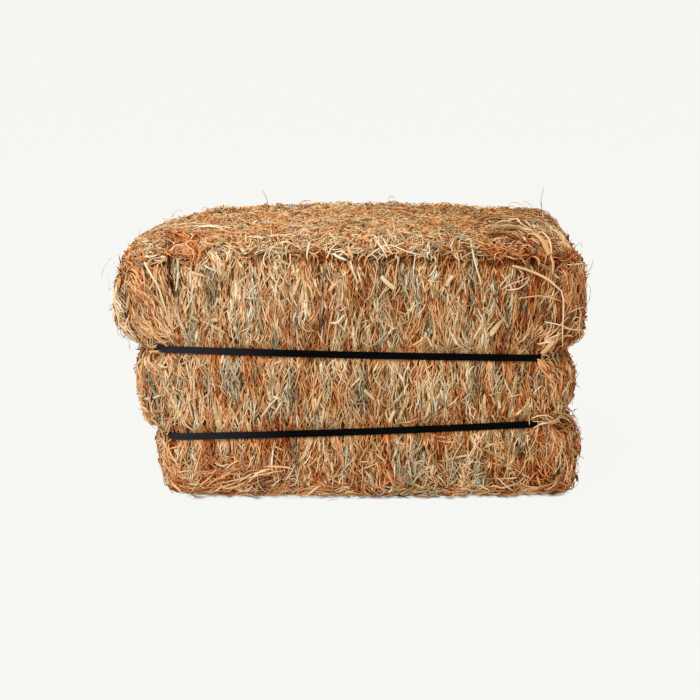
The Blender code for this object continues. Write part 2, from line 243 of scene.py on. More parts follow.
def strandBodies(name, centres, outward, halfWidth, halfThick, twist, traits, paintedSideShade):
    # joins closed three-sided strands into one mesh. centres and outward: strands x rings x 3.
    # the side shade is painted shade: how much darker a strand is along its two sides than along its ridge, as
    # if its neighbours shaded them
    count, rings, _ = centres.shape
    along = np.gradient(centres, axis=1)
    along /= np.linalg.norm(along, axis=2)[:, :, None] + 1e-12
    up = outward - along * (outward * along).sum(axis=2)[:, :, None]
    up /= np.linalg.norm(up, axis=2)[:, :, None] + 1e-12
    side = np.cross(along, up)
    turned = np.cos(twist)[:, :, None] * up + np.sin(twist)[:, :, None] * side
    side = np.cross(along, turned)
    wide = halfWidth[:, :, None]
    thick = halfThick[:, :, None]
    corners = np.stack((
        centres + turned * thick,
        centres + side * wide - turned * thick * 0.5,
        centres - side * wide - turned * thick * 0.5,
    ), axis=2)
    corners[..., 2] = np.maximum(corners[..., 2], 0.0005)  # nothing goes through the floor

    first = (np.arange(count) * rings * 3)[:, None, None]
    ring = (np.arange(rings - 1) * 3)[None, :, None]
    face = np.arange(3)[None, None, :]
    a = first + ring + face
    b = first + ring + (face + 1) % 3
    quads = np.stack((a, b, b + 3, a + 3), axis=-1).reshape(-1, 4)
    start = np.arange(count) * rings * 3
    end = start + (rings - 1) * 3
    caps = np.concatenate((
        np.stack((start + 2, start + 1, start), axis=-1),
        np.stack((end, end + 1, end + 2), axis=-1),
    ))
    loops = np.concatenate((quads.ravel(), caps.ravel()))
    sizes = np.concatenate((np.full(len(quads), 4), np.full(len(caps), 3)))
    mesh = bpy.data.meshes.new(name)
    mesh.vertices.add(count * rings * 3)
    mesh.vertices.foreach_set("co", corners.ravel())
    mesh.loops.add(len(loops))
    mesh.loops.foreach_set("vertex_index", loops)
    mesh.polygons.add(len(sizes))
    mesh.polygons.foreach_set("loop_start", np.concatenate(([0], np.cumsum(sizes)[:-1])))
    mesh.polygons.foreach_set("use_smooth", np.zeros(len(sizes), dtype=bool))
    mesh.update(calc_edges=True)
    mapStrands(mesh, count, rings)

    for trait, values in traits.items():
        store = mesh.attributes.new(trait, "FLOAT", "POINT")
        spread = np.empty((count, rings, 3), dtype=np.float32)
        spread[:] = values[:, None, None] if values.ndim == 1 else values[:, :, None]
        # painted shade: each strand is darker along its two sides than along its ridge, as if its neighbours
        # shaded it
        if trait == "strandShade":
            spread[:, :, 1:] *= 1.0 - paintedSideShade
        store.data.foreach_set("value", spread.ravel())
    piece = bpy.data.objects.new(name, mesh)
    scene.collection.objects.link(piece)
    return piece


# colours: which strands are orange, tan, cream or stained grey

woodColours = {
    "patch": (0.0125, 0.0125, 0.075),    # strands this near one another are alike: x, y and height
    "topPatch": (0.026, 0.026, 0.026),
    "tone": 0.60,                        # 0 red-brown, 1 cream
    "contrast": 0.50,
    "topContrast": 0.34,
    "palestTop": 0.74,
    "paintedDeepRedness": 0.26,                 # painted shade: strands that lie deep are redder
    "paintedEndDeepRedness": 0.39,
    "depthGrey": 0.6,                    # and less grey, so that this painted shade stays red-brown
    "greyLimit": 0.215,
    "greySoftness": 0.16,
    "greySpread": 0.09,
    "topGrey": -0.5,
    "greyStrays": 0.04,                  # share of single grey strands
    "paleStrays": 0.07,                  # share of single pale strands
    "paleStep": 0.35,                    # and how much paler they are
    "rightEnd": (0.38, 0.6),             # the right end is an even golden brown: tone and contrast
    "paleField": (-0.15, 0.365),         # middle of a paler patch above the upper strap: x and height
    "paleReach": (0.09, 0.06),
    "paleAmount": 0.06,
    "sideMakeup": 0.46,                  # gives back the brightness that the painted side shade takes
    "shadeRange": (0.55, 1.26),
}

# how the colours drift, some rows with painted light and shade. zone, then x and height where a drift starts
# and where it is full, what it adds to the tone and to the grey stain, and the share by which it brightens
colourDrifts = (
    ("all", (-0.12, -0.37), None, -0.08, 0.0, 0.0),  # the left end is more orange
    ("all", (0.22, 0.38), None, -0.14, 0.0, -0.07),  # the right end is browner, and darker with painted shade
    ("all", None, (0.16, 0.04), -0.12, 0.0, 0.0),    # the foot is warm
    ("top", None, None, 0.05, 0.0, -0.03),
    ("top", (0.0, 0.2), None, -0.02, 0.0, -0.062),
    ("front", None, None, -0.015, 0.0, 0.0),
    ("front", (0.29, 0.34), None, -0.05, -0.5, 0.0),
    ("front", (-0.13, -0.21), (0.2505, 0.2495), -0.02, 0.0, 0.06),
    ("front", (-0.13, -0.21), (0.1305, 0.1295), -0.06, -0.25, 0.0),
    ("front", (0.05, 0.15), None, 0.03, 0.0, 0.0),
    ("front", (0.05, 0.15), (0.1405, 0.1395), 0.05, 0.0, 0.0),
    ("front", (-0.03, 0.02), (0.2595, 0.2605), 0.0, 0.0, -0.04),
    # painted light: the upper left of the front is paler and brighter, as if lit more from the left
    ("front", (0.0, -0.2), (0.25, 0.30), 0.02, 0.0, 0.05),
    ("leftEnd", None, None, -0.10, -0.5, 0.0),
    # painted light: the lower left end is paler and brighter, as if a lamp lit it from the left
    ("leftEnd", None, (0.2505, 0.2495), 0.13, 0.0, 0.16),
    ("rightEnd", None, None, 0.0, -0.5, 0.0),
    # painted shade of the recess under the mat: the front lip is redder and darker towards the right
    ("frontLip", (0.10, 0.18), None, -0.19, 0.0, -0.06),
    # painted light: the back lip is brighter, lifting the shade of the far edge
    ("backLip", None, None, 0.0, 0.0, 0.10),
)


def strandTraits(places, depth, zone, look, chance):
    # tone: 0 red-brown, 1 cream. stain: 0 clean, 1 grey. shade: brightness, random from strand to strand, with
    # painted light and shade added by the drifts and the side shade
    colours = woodColours
    count = len(places)
    tone = np.empty(count)
    stain = np.empty(count)
    patch = colours["topPatch"] if zone in ("top", "underside") else colours["patch"]
    for i, spot in enumerate(places / patch):
        spot = Vector(spot)
        tone[i] = noise.noise(spot) + 0.45 * noise.noise(spot * 0.37 + Vector((9.0, 4.0, 2.0)))
        stain[i] = noise.noise(spot * 0.85 + Vector((31.0, 12.0, 7.0)))
    tone = colours["tone"] + colours["topContrast" if zone == "top" else "contrast"] * tone
    tone += chance.normal(0.0, look["toneSpread"], count)
    stain += chance.normal(0.0, colours["greySpread"], count)
    stain = (stain - colours["greyLimit"]) / colours["greySoftness"]
    stain += colours["topGrey"] if zone == "top" else 0.0
    stray = chance.random(count)
    # painted shade: strands that lie deep are less grey and redder
    stain = np.where(stray < colours["greyStrays"], 1.0, stain) * (1.0 - colours["depthGrey"] * depth)
    tone = np.where(stray > 1.0 - colours["paleStrays"], tone + colours["paleStep"], tone)
    tone -= colours["paintedEndDeepRedness" if zone in ("leftEnd", "rightEnd") else "paintedDeepRedness"] * depth
    shade = np.exp(chance.normal(0.0, look["shadeSpread"], count))

    x, z = places[:, 0], places[:, 2]
    for where, along, height, paler, greyer, brighter in colourDrifts:
        if where in ("all", zone):
            drift = rise(x, along) * rise(z, height)
            tone += paler * drift
            stain += greyer * drift
            shade *= 1.0 + brighter * drift
    if zone == "front":
        middle, reach = colours["paleField"], colours["paleReach"]
        field = 1.0 - ((x - middle[0]) / reach[0]) ** 2 - ((z - middle[1]) / reach[1]) ** 2
        field = colours["paleAmount"] * np.clip(field, 0.0, 1.0)
        tone += field
        shade *= 1.0 + field
    if zone == "top":
        tone = np.minimum(tone, colours["palestTop"])
    if zone == "rightEnd":
        even, contrast = colours["rightEnd"]
        tone = even + contrast * (tone - even)
    shade *= 1.0 + colours["sideMakeup"] * look["paintedSideShade"]
    return {"woodTone": np.clip(tone, 0.0, 1.0), "greyStain": np.clip(stain, 0.0, 1.0),
            "strandShade": np.clip(shade, *colours["shadeRange"])}


# one patch of the bale: many strands on one face

def pickRoots(zone, count, chance, keep=None):
    weight = np.where(triZone == zone, triArea, 0.0)
    if keep is not None:
        weight = weight * keep(triMiddle)
    picked = chance.choice(len(weight), size=count, p=weight / weight.sum())
    a, b = chance.random(count), chance.random(count)
    over = a + b > 1.0
    a, b = np.where(over, 1.0 - a, a), np.where(over, 1.0 - b, b)
    roots = cornerA[picked] + a[:, None] * (cornerB - cornerA)[picked]
    roots = roots + b[:, None] * (cornerC - cornerA)[picked]
    return roots, triNormal[picked]


def tangent(direction, normals):
    flat = direction - normals * (direction * normals).sum(axis=1)[:, None]
    return flat / (np.linalg.norm(flat, axis=1)[:, None] + 1e-9)


def turnedHeadings(headings, normals, angles):
    side = np.cross(normals, headings)
    return headings * np.cos(angles)[:, None] + side * np.sin(angles)[:, None]


def smoothNoise(spots, seed):
    shift = Vector((seed * 3.1, seed * 1.7, seed * 0.9))
    return np.array([noise.noise(Vector(spot) + shift) for spot in spots])


pleatField = {
    "size": np.array((0.011, 0.011, 0.070)),  # of a bundle: x, y and height
    "groove": (-0.10, -0.35),                 # noise values where a groove starts, and is deepest
}


def pleats(spots):
    # upright grooves between bundles: 0 on a bundle, 1 in a groove
    shift = Vector((5.0, 8.0, 3.0))
    values = np.array([noise.noise(Vector(spot) + shift) for spot in spots / pleatField["size"]])
    return rise(values, pleatField["groove"])


creviceLine = (  # x and height of the furrow under the lip
    (-0.36, 0.404), (-0.28, 0.420), (-0.20, 0.4275), (0.0, 0.4235), (0.20, 0.4185), (0.32, 0.415),
    (0.38, 0.402),
)


def creviceAt(x):
    return np.interp(x, *zip(*creviceLine))


strandLay = {
    "endPull": (0.26, 0.38),      # distance from the middle where strands start to lean, and fully do
    "endLean": (                  # height and lean: near the ends they turn in towards the straps
        (0.0, 0.0), (0.06, -0.175), (0.13, -0.315), (0.15, 0.315), (0.19, 0.0), (0.24, -0.315), (0.27, 0.28),
        (0.2701, 0.75), (0.33, 0.45), (0.42, 0.0),
    ),
    "looseFoot": (0.110, 0.060),  # heights between which the front and back grow looser
    "footLoose": 0.22,
    "rightLoose": 0.35,           # how much more so towards the right
    "right": (0.05, 0.20),
    "lyingFoot": (0.052, 0.012),  # heights between which more strands lie along the floor
    "lyingShare": 0.72,
    "lyingSpread": 0.65,
    "tangledRim": (-0.008, 0.008),  # heights over the furrow between which strands lie anyhow
    "tangledShare": 0.6,
    "rootDive": (0.0015, 0.0040),
    "tipDive": (0.001, 0.004),
    "tipRise": 0.002,             # at least, for tips that stand free
    "waves": (0.7, 1.6),          # along one strand
    "lengthSpread": 0.32,
    "shortest": 0.45,             # by the usual length
    "widths": (0.35, 2.3),        # narrowest and widest, by the usual width
    "taper": ((0.0, 0.12, 0.85, 1.0), (0.55, 1.0, 0.95, 0.40)),
    "roll": 0.45,                 # radians
    "twist": 0.9,
    "furrowWidth": 0.008,
    # painted shade that darkens strands in the furrow under the lip
    "paintedFurrowShade": 0.3,
    "deep": (0.0004, -0.0051),    # heights over the skin where a strand starts to be deep, and fully is
}


def strandHeadings(zone, look, roots, normals, chance, seed):
    # mostly along the grain, pulled in towards the straps near the ends, looser at the rims
    count = len(roots)
    x, z = roots[:, 0], roots[:, 2]
    grain = np.tile(np.array(look["grain"], dtype=float), (count, 1))
    looseShare = np.full(count, look["looseShare"])
    if zone in ("front", "back"):
        lean = np.interp(z, *zip(*strandLay["endLean"]))
        grain[:, 0] = -np.sign(x) * rise(np.abs(x), strandLay["endPull"]) * lean
        toRight = strandLay["rightLoose"] * rise(x, strandLay["right"])
        looseShare += rise(z, strandLay["looseFoot"]) * (strandLay["footLoose"] + toRight)
    headings = tangent(grain, normals)
    angles = chance.normal(0.0, math.radians(look["lean"]), count)
    angles += math.radians(look["clumpLean"]) * smoothNoise(roots / look["clumpSize"], seed)
    loose = chance.random(count) < looseShare
    angles = np.where(loose, chance.normal(0.0, math.radians(look["looseLean"]), count), angles)
    if zone in ("front", "back"):
        lying = chance.random(count) < strandLay["lyingShare"] * rise(z, strandLay["lyingFoot"])
        angles = np.where(lying, math.pi / 2 + chance.normal(0.0, strandLay["lyingSpread"], count), angles)
        nearRim = rise(z - creviceAt(x), strandLay["tangledRim"])
        tangled = chance.random(count) < strandLay["tangledShare"] * nearRim
        angles = np.where(tangled, chance.uniform(-math.pi, math.pi, count), angles)
    flip = chance.random(count) < 0.5
    return turnedHeadings(headings, normals, angles + np.where(flip, math.pi, 0.0))


def strandHeights(zone, look, places, share, chance):
    # over the skin: a layer of its own, an arched middle, ends that dive in or stand free
    each = (len(places), 1)
    layer = chance.uniform(look["deepest"], look["highest"], each)
    arch = np.abs(chance.normal(0.0, look["arch"], each)) * np.sin(math.pi * share)
    dive = chance.uniform(*strandLay["rootDive"], each) * np.clip(1.0 - 5.0 * share, 0.0, 1.0)
    freeTip = chance.random(each) < look["freeShare"]
    free = chance.uniform(strandLay["tipRise"], look["freeReach"], each)
    tip = np.where(freeTip, free, -chance.uniform(*strandLay["tipDive"], each))
    weave = chance.uniform(*strandLay["waves"], each) * share
    weave = look["weave"] * np.sin(2.0 * math.pi * (weave + chance.random(each)))
    height = layer + arch + weave - dive + tip * np.clip(2.6 * share - 1.6, 0.0, 1.0) ** 1.5

    gap = strapDistance(places[..., 0], places[..., 2])
    between = (places[:, 1:] + places[:, :-1]) / 2.0
    between = strapDistance(between[..., 0], between[..., 2])
    gap[:, 1:] = np.minimum(gap[:, 1:], between)
    gap[:, :-1] = np.minimum(gap[:, :-1], between)
    limit = strapLines["tucked"] + np.clip(gap - strapLines["reach"], 0.0, 1.0) * strapLines["slope"]
    limit += overStrap(places[..., 0], places[..., 1], places[..., 2])
    crevice = np.zeros_like(height)
    if zone in ("front", "back"):
        above = places[..., 2] - creviceAt(places[..., 0])
        crevice = np.exp(-(above / strandLay["furrowWidth"]) ** 2)
        height -= look["creviceDepth"] * crevice
    if look["pleatDepth"] > 0.0:
        height -= look["pleatDepth"] * pleats(places[:, look["segments"] // 2])[:, None]
    return np.minimum(height, limit), crevice


def dress(piece, material):
    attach(piece, "root")
    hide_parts("wood_wool")
    piece.data.materials.clear()
    piece.data.materials.append(material)


def growPatch(name, zone, look, seed, keep=None):
    chance = np.random.default_rng(seed)
    count, segments = look["count"], look["segments"]
    roots, normals = pickRoots(zone, count, chance, keep)
    headings = strandHeadings(zone, look, roots, normals, chance, seed)
    length = np.exp(chance.normal(math.log(look["length"]), strandLay["lengthSpread"], count))
    length = np.clip(length, look["length"] * strandLay["shortest"], look["longest"])
    steady = chance.normal(0.0, look["curve"], count)
    turns = steady[:, None] + chance.normal(0.0, look["wiggle"], (count, segments))
    places, outward = layStrands(roots, normals, headings, length / segments, turns, segments)
    share = np.linspace(0.0, 1.0, segments + 1)[None, :]
    height, crevice = strandHeights(zone, look, places, share, chance)
    centres = places + outward * height[..., None]

    width = np.exp(chance.normal(math.log(look["width"]), look["widthSpread"], count))
    narrowest, widest = strandLay["widths"]
    width = np.clip(width, look["width"] * narrowest, look["width"] * widest)[:, None]
    halfWidth = width * np.interp(share, *strandLay["taper"]) / 2.0
    halfThick = halfWidth * chance.uniform(*look["flatness"], (count, 1))
    twist = chance.normal(0.0, strandLay["roll"], (count, 1))
    twist = twist + chance.normal(0.0, strandLay["twist"], (count, 1)) * (share - 0.5)
    depth = rise(height, strandLay["deep"])
    traits = strandTraits(places[:, segments // 2], depth.mean(axis=1), zone, look, chance)
    # painted shade: strands darken with their depth under the skin
    shade = traits["strandShade"][:, None] * (1.0 - look["paintedDepthShade"] * depth)
    # painted shade: strands darken in the furrow under the lip
    traits["strandShade"] = shade * (1.0 - strandLay["paintedFurrowShade"] * crevice)
    piece = strandBodies(name, centres, outward, halfWidth, halfThick, twist, traits, look["paintedSideShade"])
    dress(piece, strandMaterial)
    print(name, count, "strands,", count * (segments * 6 + 2), "triangles")


# materials

def newMaterial(name):
    made = bpy.data.materials.new(name)
    made.use_nodes = True
    nodes, links = made.node_tree.nodes, made.node_tree.links
    return made, nodes, links, nodes["Principled BSDF"]


def feed(links, socket, value):
    # value: a constant, or the output that drives the socket
    if isinstance(value, (float, tuple)):
        socket.default_value = value
    else:
        links.new(value, socket)


def ramp(nodes, links, source, stops):
    made = nodes.new("ShaderNodeValToRGB")
    elements = made.color_ramp.elements
    while len(elements) > 1:
        elements.remove(elements[-1])
    elements[0].position = stops[0][0]
    elements[0].color = (*stops[0][1], 1.0)
    for place, colour in stops[1:]:
        elements.new(place).color = (*colour, 1.0)
    links.new(source, made.inputs["Fac"])
    return made.outputs["Color"]


def attribute(nodes, name):
    made = nodes.new("ShaderNodeAttribute")
    made.attribute_name = name
    return made.outputs["Fac"]


def mixColour(nodes, links, factor, first, second, blend="MIX"):
    made = nodes.new("ShaderNodeMix")
    made.data_type = "RGBA"
    made.blend_type = blend
    for number, value in ((0, factor), (6, first), (7, second)):
        feed(links, made.inputs[number], value)
    return made.outputs[2]


def mathNode(nodes, links, operation, *values):
    made = nodes.new("ShaderNodeMath")
    made.operation = operation
    for socket, value in zip(made.inputs, values):
        feed(links, socket, value)
    return made.outputs[0]


def mapRange(nodes, links, source, side, low, high):
    made = nodes.new("ShaderNodeMapRange")
    made.inputs[side + " Min"].default_value = low
    made.inputs[side + " Max"].default_value = high
    links.new(source, made.inputs["Value"])
    return made.outputs["Result"]


def noiseNode(nodes, links, place, size, detail):
    # size: how many per metre, or one number for each of x, y and z
    made = nodes.new("ShaderNodeTexNoise")
    made.inputs["Detail"].default_value = detail
    if isinstance(size, tuple):
        stretch = nodes.new("ShaderNodeMapping")
        stretch.inputs["Scale"].default_value = size
        links.new(place, stretch.inputs["Vector"])
        place, size = stretch.outputs["Vector"], 1.0
    made.inputs["Scale"].default_value = size
    links.new(place, made.inputs["Vector"])
    return made.outputs["Fac"]


def addBump(nodes, links, shader, source, strength, distance):
    made = nodes.new("ShaderNodeBump")
    made.inputs["Strength"].default_value = strength
    made.inputs["Distance"].default_value = distance
    links.new(source, made.inputs["Height"])
    links.new(made.outputs["Normal"], shader.inputs["Normal"])


pine = {
    "tones": ((0.00, (0.400, 0.125, 0.040)), (0.18, (0.530, 0.205, 0.072)), (0.36, (0.610, 0.292, 0.118)),
              (0.54, (0.645, 0.398, 0.196)), (0.76, (0.675, 0.498, 0.294)), (1.00, (0.715, 0.605, 0.440))),
    "greys": ((0.0, (0.160, 0.134, 0.086)), (0.5, (0.335, 0.293, 0.195)), (1.0, (0.540, 0.480, 0.340))),
    "deepening": 3.2,    # how much a darker strand is also a richer brown; on the painted shade this paints the warm light bounced between strands
    "leastGamma": 0.88,  # where that stops for bright ones
    "drift": 0.30,       # how far the tone drifts along a strand
    "stainEdge": ((0.25, (0.35, 0.35, 0.35)), (0.60, (1.0, 1.0, 1.0))),
    "grain": ((0.30, (0.86, 0.86, 0.86)), (0.70, (1.06, 1.06, 1.06))),
    "blotches": 120.0,   # per metre
    "grains": 900.0,
    "bump": (0.25, 0.0004),
    "roughness": 0.72,
    "sheen": 0.02,
}


def makeStrandMaterial(look):
    made, nodes, links, shader = newMaterial("curledPine")
    tone, stain, shade = (attribute(nodes, name) for name in ("woodTone", "greyStain", "strandShade"))
    place = nodes.new("ShaderNodeTexCoord").outputs["Object"]
    blotch = noiseNode(nodes, links, place, look["blotches"], 2.0)
    grain = noiseNode(nodes, links, place, look["grains"], 1.0)
    drift = mathNode(nodes, links, "MULTIPLY_ADD", blotch, look["drift"], -look["drift"] / 2.0)
    tone = mathNode(nodes, links, "ADD", tone, drift)
    wood = ramp(nodes, links, tone, look["tones"])
    grey = ramp(nodes, links, tone, look["greys"])
    patch = mathNode(nodes, links, "MULTIPLY", stain, ramp(nodes, links, blotch, look["stainEdge"]))
    stained = mixColour(nodes, links, patch, wood, grey)
    grained = mixColour(nodes, links, 1.0, stained, ramp(nodes, links, grain, look["grain"]), "MULTIPLY")

    # darker strands turn a richer brown; on the painted shade of depth, sides and furrow this is painted
    # bounce light
    power = mathNode(nodes, links, "MULTIPLY_ADD", shade, -look["deepening"], 1.0 + look["deepening"])
    rich = nodes.new("ShaderNodeGamma")
    links.new(grained, rich.inputs["Color"])
    links.new(mathNode(nodes, links, "MAXIMUM", power, look["leastGamma"]), rich.inputs["Gamma"])
    bright = nodes.new("ShaderNodeVectorMath")
    bright.operation = "SCALE"
    links.new(rich.outputs["Color"], bright.inputs[0])
    links.new(shade, bright.inputs["Scale"])
    links.new(bright.outputs[0], shader.inputs["Base Color"])
    addBump(nodes, links, shader, grain, *look["bump"])
    shader.inputs["Roughness"].default_value = look["roughness"]
    shader.inputs["Specular IOR Level"].default_value = look["sheen"]
    return made


heart = {
    # the heart's dark brown is painted shade seen in the gaps between strands
    "dark": (0.175, 0.058, 0.017),
    "light": (0.430, 0.205, 0.078),
    "voxel": 0.0120,
    "smoothing": 3,
    "inset": 0.0056,
    "strapRoom": 0.0085,             # how much deeper it lies along the straps
    "strapFade": (0.026, 0.010),     # distances from a strap's middle between which it goes down
    "footFade": (0.034, 0.012),      # heights between which it fills the foot, down to the floor
    "lowest": 0.0012,
    "fibres": (420.0, 420.0, 60.0),  # per metre
    "bump": (0.8, 0.002),
    "roughness": 0.9,
}


def makeHeartMaterial(look):
    made, nodes, links, shader = newMaterial("packedPinePaintedShade")
    place = nodes.new("ShaderNodeTexCoord").outputs["Object"]
    fibres = noiseNode(nodes, links, place, look["fibres"], 4.0)
    colour = ramp(nodes, links, fibres, ((0.30, look["dark"]), (0.72, look["light"])))
    links.new(colour, shader.inputs["Base Color"])
    addBump(nodes, links, shader, fibres, *look["bump"])
    shader.inputs["Roughness"].default_value = look["roughness"]
    shader.inputs["Specular IOR Level"].default_value = 0.0
    return made


strap = {
    "black": (0.0006, 0.0006, 0.0007),
    "worn": (0.0020, 0.0020, 0.0023),
    # painted reflection: towards the left end the black band turns bluish grey, as a lamp on the left would
    # show in it
    "paintedReflection": (0.0210, 0.0210, 0.0255),
    "paintedReflectionAlong": (-0.10, -0.30),  # x where the painted reflection starts, and where it is full
    "scuffs": (25.0, 25.0, 700.0),  # per metre
    "roughness": (0.30, 0.42),
    "sheen": 0.03,
    "ribPitch": 0.0011,
    "bump": (0.5, 0.0002),
}


def makeStrapMaterial(look):
    made, nodes, links, shader = newMaterial("blackBand")
    place = nodes.new("ShaderNodeTexCoord").outputs["Object"]
    ribs = nodes.new("ShaderNodeTexWave")
    ribs.wave_type = "BANDS"
    ribs.bands_direction = "Z"
    ribs.inputs["Scale"].default_value = 0.314 / look["ribPitch"]
    ribs.inputs["Distortion"].default_value = 0.0
    links.new(place, ribs.inputs["Vector"])
    scuff = noiseNode(nodes, links, place, look["scuffs"], 3.0)
    colour = ramp(nodes, links, scuff, ((0.35, look["black"]), (0.75, look["worn"])))
    apart = nodes.new("ShaderNodeSeparateXYZ")
    links.new(place, apart.inputs["Vector"])
    # painted reflection, paler towards the left end
    paintedReflection = mapRange(nodes, links, apart.outputs["X"], "From", *look["paintedReflectionAlong"])
    links.new(mixColour(nodes, links, paintedReflection, colour, (*look["paintedReflection"], 1.0)), shader.inputs["Base Color"])
    links.new(mapRange(nodes, links, scuff, "To", *look["roughness"]), shader.inputs["Roughness"])
    addBump(nodes, links, shader, ribs.outputs["Fac"], *look["bump"])
    shader.inputs["Specular IOR Level"].default_value = look["sheen"]
    return made


strandMaterial = makeStrandMaterial(pine)
heartMaterial = makeHeartMaterial(heart)
strapMaterial = makeStrapMaterial(strap)


# the imported heart of the bale, just under the strands. Its dark brown is painted shade of the deep gaps
# between strands

heartPiece = skinCopy(woolNode, "packedHeart", heart["voxel"], heart["smoothing"], heart["inset"])
for vert in heartPiece.data.vertices:
    nearStrap = rise(strapDistance(vert.co.x, vert.co.z), heart["strapFade"])
    vert.co -= vert.normal * heart["strapRoom"] * nearStrap
    vert.co.z = max(heart["lowest"], vert.co.z - heart["inset"] * rise(vert.co.z, heart["footFade"]))
for polygon in heartPiece.data.polygons:
    polygon.use_smooth = True
dress(heartPiece, heartMaterial)
print("packed heart", len(heartPiece.data.polygons), "faces")


# the strands of each face. lengths and heights over the skin are in metres, lean, looseLean and
# clumpLean in degrees, curve and wiggle in radians for each segment, and shares between 0 and 1

frontWool = {
    "count": 4900, "segments": 3,
    "grain": (0.0, 0.0, -1.0), "lean": 6.0, "looseShare": 0.10, "looseLean": 42.0,
    "clumpLean": 11.0, "clumpSize": 0.030,
    "length": 0.032, "longest": 0.064, "width": 0.0025, "widthSpread": 0.45,
    "curve": 0.08, "wiggle": 0.16, "arch": 0.0013, "weave": 0.0009,
    "deepest": -0.0050, "highest": 0.0020, "freeShare": 0.06, "freeReach": 0.006, "paintedDepthShade": 0.28,
    "creviceDepth": 0.0045, "pleatDepth": 0.0026, "toneSpread": 0.16, "shadeSpread": 0.10,
    "paintedSideShade": 0.21, "flatness": (0.25, 0.60),
}
frontCurls = dict(
    frontWool, count=3000, segments=5, looseShare=0.08, clumpLean=10.0, longest=0.060,
    width=0.0018, widthSpread=0.30, curve=0.06, wiggle=0.23, arch=0.0012, weave=0.0010,
    deepest=-0.0034, highest=0.0024,
)
backWool = dict(
    frontWool, count=7500, segments=2, length=0.036, longest=0.060, width=0.0033, deepest=-0.0040,
    clumpLean=18.0, looseShare=0.16,
)
topWool = dict(
    frontWool, count=9700, segments=2, grain=(1.0, 0.0, 0.0), lean=55.0, looseShare=0.40, looseLean=90.0,
    length=0.022, longest=0.040, width=0.0021, widthSpread=0.35, curve=0.20, wiggle=0.22,
    arch=0.0007, weave=0.0005, deepest=-0.0014, highest=0.0010, freeShare=0.03, freeReach=0.003,
    paintedDepthShade=0.05, pleatDepth=0.0, toneSpread=0.08, shadeSpread=0.04, paintedSideShade=0.0, flatness=(0.10, 0.24),
)
endWool = dict(
    frontWool, count=3900, lean=34.0, looseShare=0.25, looseLean=90.0, clumpLean=34.0,
    length=0.034, width=0.0029, curve=0.15, wiggle=0.24, arch=0.0018, highest=0.0024,
    freeShare=0.18, freeReach=0.012, toneSpread=0.18, paintedSideShade=0.12,
)
footWool = dict(
    frontWool, count=1500, grain=(1.0, 0.0, 0.0), lean=32.0, looseShare=0.4, looseLean=80.0, clumpLean=32.0,
    length=0.025, curve=0.22, width=0.0030, deepest=-0.0030, highest=0.0022, freeShare=0.03, freeReach=0.003,
    paintedDepthShade=0.45,
)
undersideWool = dict(
    frontWool, count=500, grain=(1.0, 0.0, 0.0), lean=60.0, looseShare=0.3, looseLean=90.0,
    length=0.050, width=0.0034, arch=0.0003, highest=-0.0005, freeShare=0.0,
)


patchEdges = {
    "halves": 0.235,    # height that parts the front's two halves
    "foot": 0.016,      # the foot reaches this high
    "footTilt": -0.93,  # and leaves out what looks straight down
}


def upperHalf(middle):
    return (middle[:, 2] > patchEdges["halves"]).astype(float)


def lowerHalf(middle):
    return (middle[:, 2] <= patchEdges["halves"]).astype(float)


growPatch("frontUpperStrands", "front", frontWool, 11, upperHalf)
growPatch("frontLowerStrands", "front", frontWool, 12, lowerHalf)
growPatch("frontUpperCurls", "front", frontCurls, 31, upperHalf)
growPatch("frontLowerCurls", "front", frontCurls, 32, lowerHalf)
growPatch("backStrands", "back", backWool, 13)
growPatch("topStrands", "top", topWool, 14)
growPatch("leftEndStrands", "leftEnd", endWool, 15)
growPatch("rightEndStrands", "rightEnd", endWool, 16)
growPatch("undersideStrands", "underside", undersideWool, 17)

alongFloor = (triMiddle[:, 2] < patchEdges["foot"]) & (triNormal[:, 2] > patchEdges["footTilt"])
triZone = np.where(alongFloor, "foot", triZone)
growPatch("footStrands", "foot", footWool, 20)


# single strands, chips and bundles that the photograph shows, by pixel

rayWalk = {
    "nearest": 2.45,  # metres from the camera
    "step": 0.008,
    "count": 60,
}


def placeAt(px, py, lift, farthest=1.0):
    # the wool seen at a pixel, raised by lift; beside the outline, the ray's own nearest point,
    # pulled in where it is farther from the wool than farthest
    start, ray = pixelRay(px, py)
    hit, normal, _, _ = guideTree.ray_cast(start, ray)
    if hit is not None:
        return hit + normal * lift, normal
    best = None
    for k in range(rayWalk["count"]):
        spot = start + ray * (rayWalk["nearest"] + rayWalk["step"] * k)
        _, normal, _, far = guideTree.find_nearest(spot)
        if best is None or far < best[0]:
            best = (far, spot, normal)
    far, spot, normal = best
    if far > farthest:
        near, _, _, _ = guideTree.find_nearest(spot)
        spot = near + (spot - near) * farthest / far
    return spot, normal


def smoothRoute(points, rings):
    # an even curve through the points
    points = np.array(points, dtype=float)
    if len(points) == 2:
        points = np.stack((points[0], points.mean(axis=0), points[1]))
    ends = np.concatenate((2 * points[:1] - points[1:2], points, 2 * points[-1:] - points[-2:-1]))
    share = np.linspace(0.0, len(points) - 1.0001, rings)
    whole = share.astype(int)
    part = (share - whole)[:, None]
    a, b, c, d = (ends[whole + k] for k in range(4))
    square = (2 * a - 5 * b + 4 * c - d) * part ** 2
    return 0.5 * (2 * b + (c - a) * part + square + (3 * b - a - 3 * c + d) * part ** 3)


def eyeLine(px, py, lift, limit=math.inf):
    # like placeAt, but no farther along the ray than limit, and with its distance along the ray
    spot, normal = placeAt(px, py, lift)
    start, ray = pixelRay(px, py)
    far = (spot - start).dot(ray)
    return (start + ray * limit if far > limit else spot), normal, far


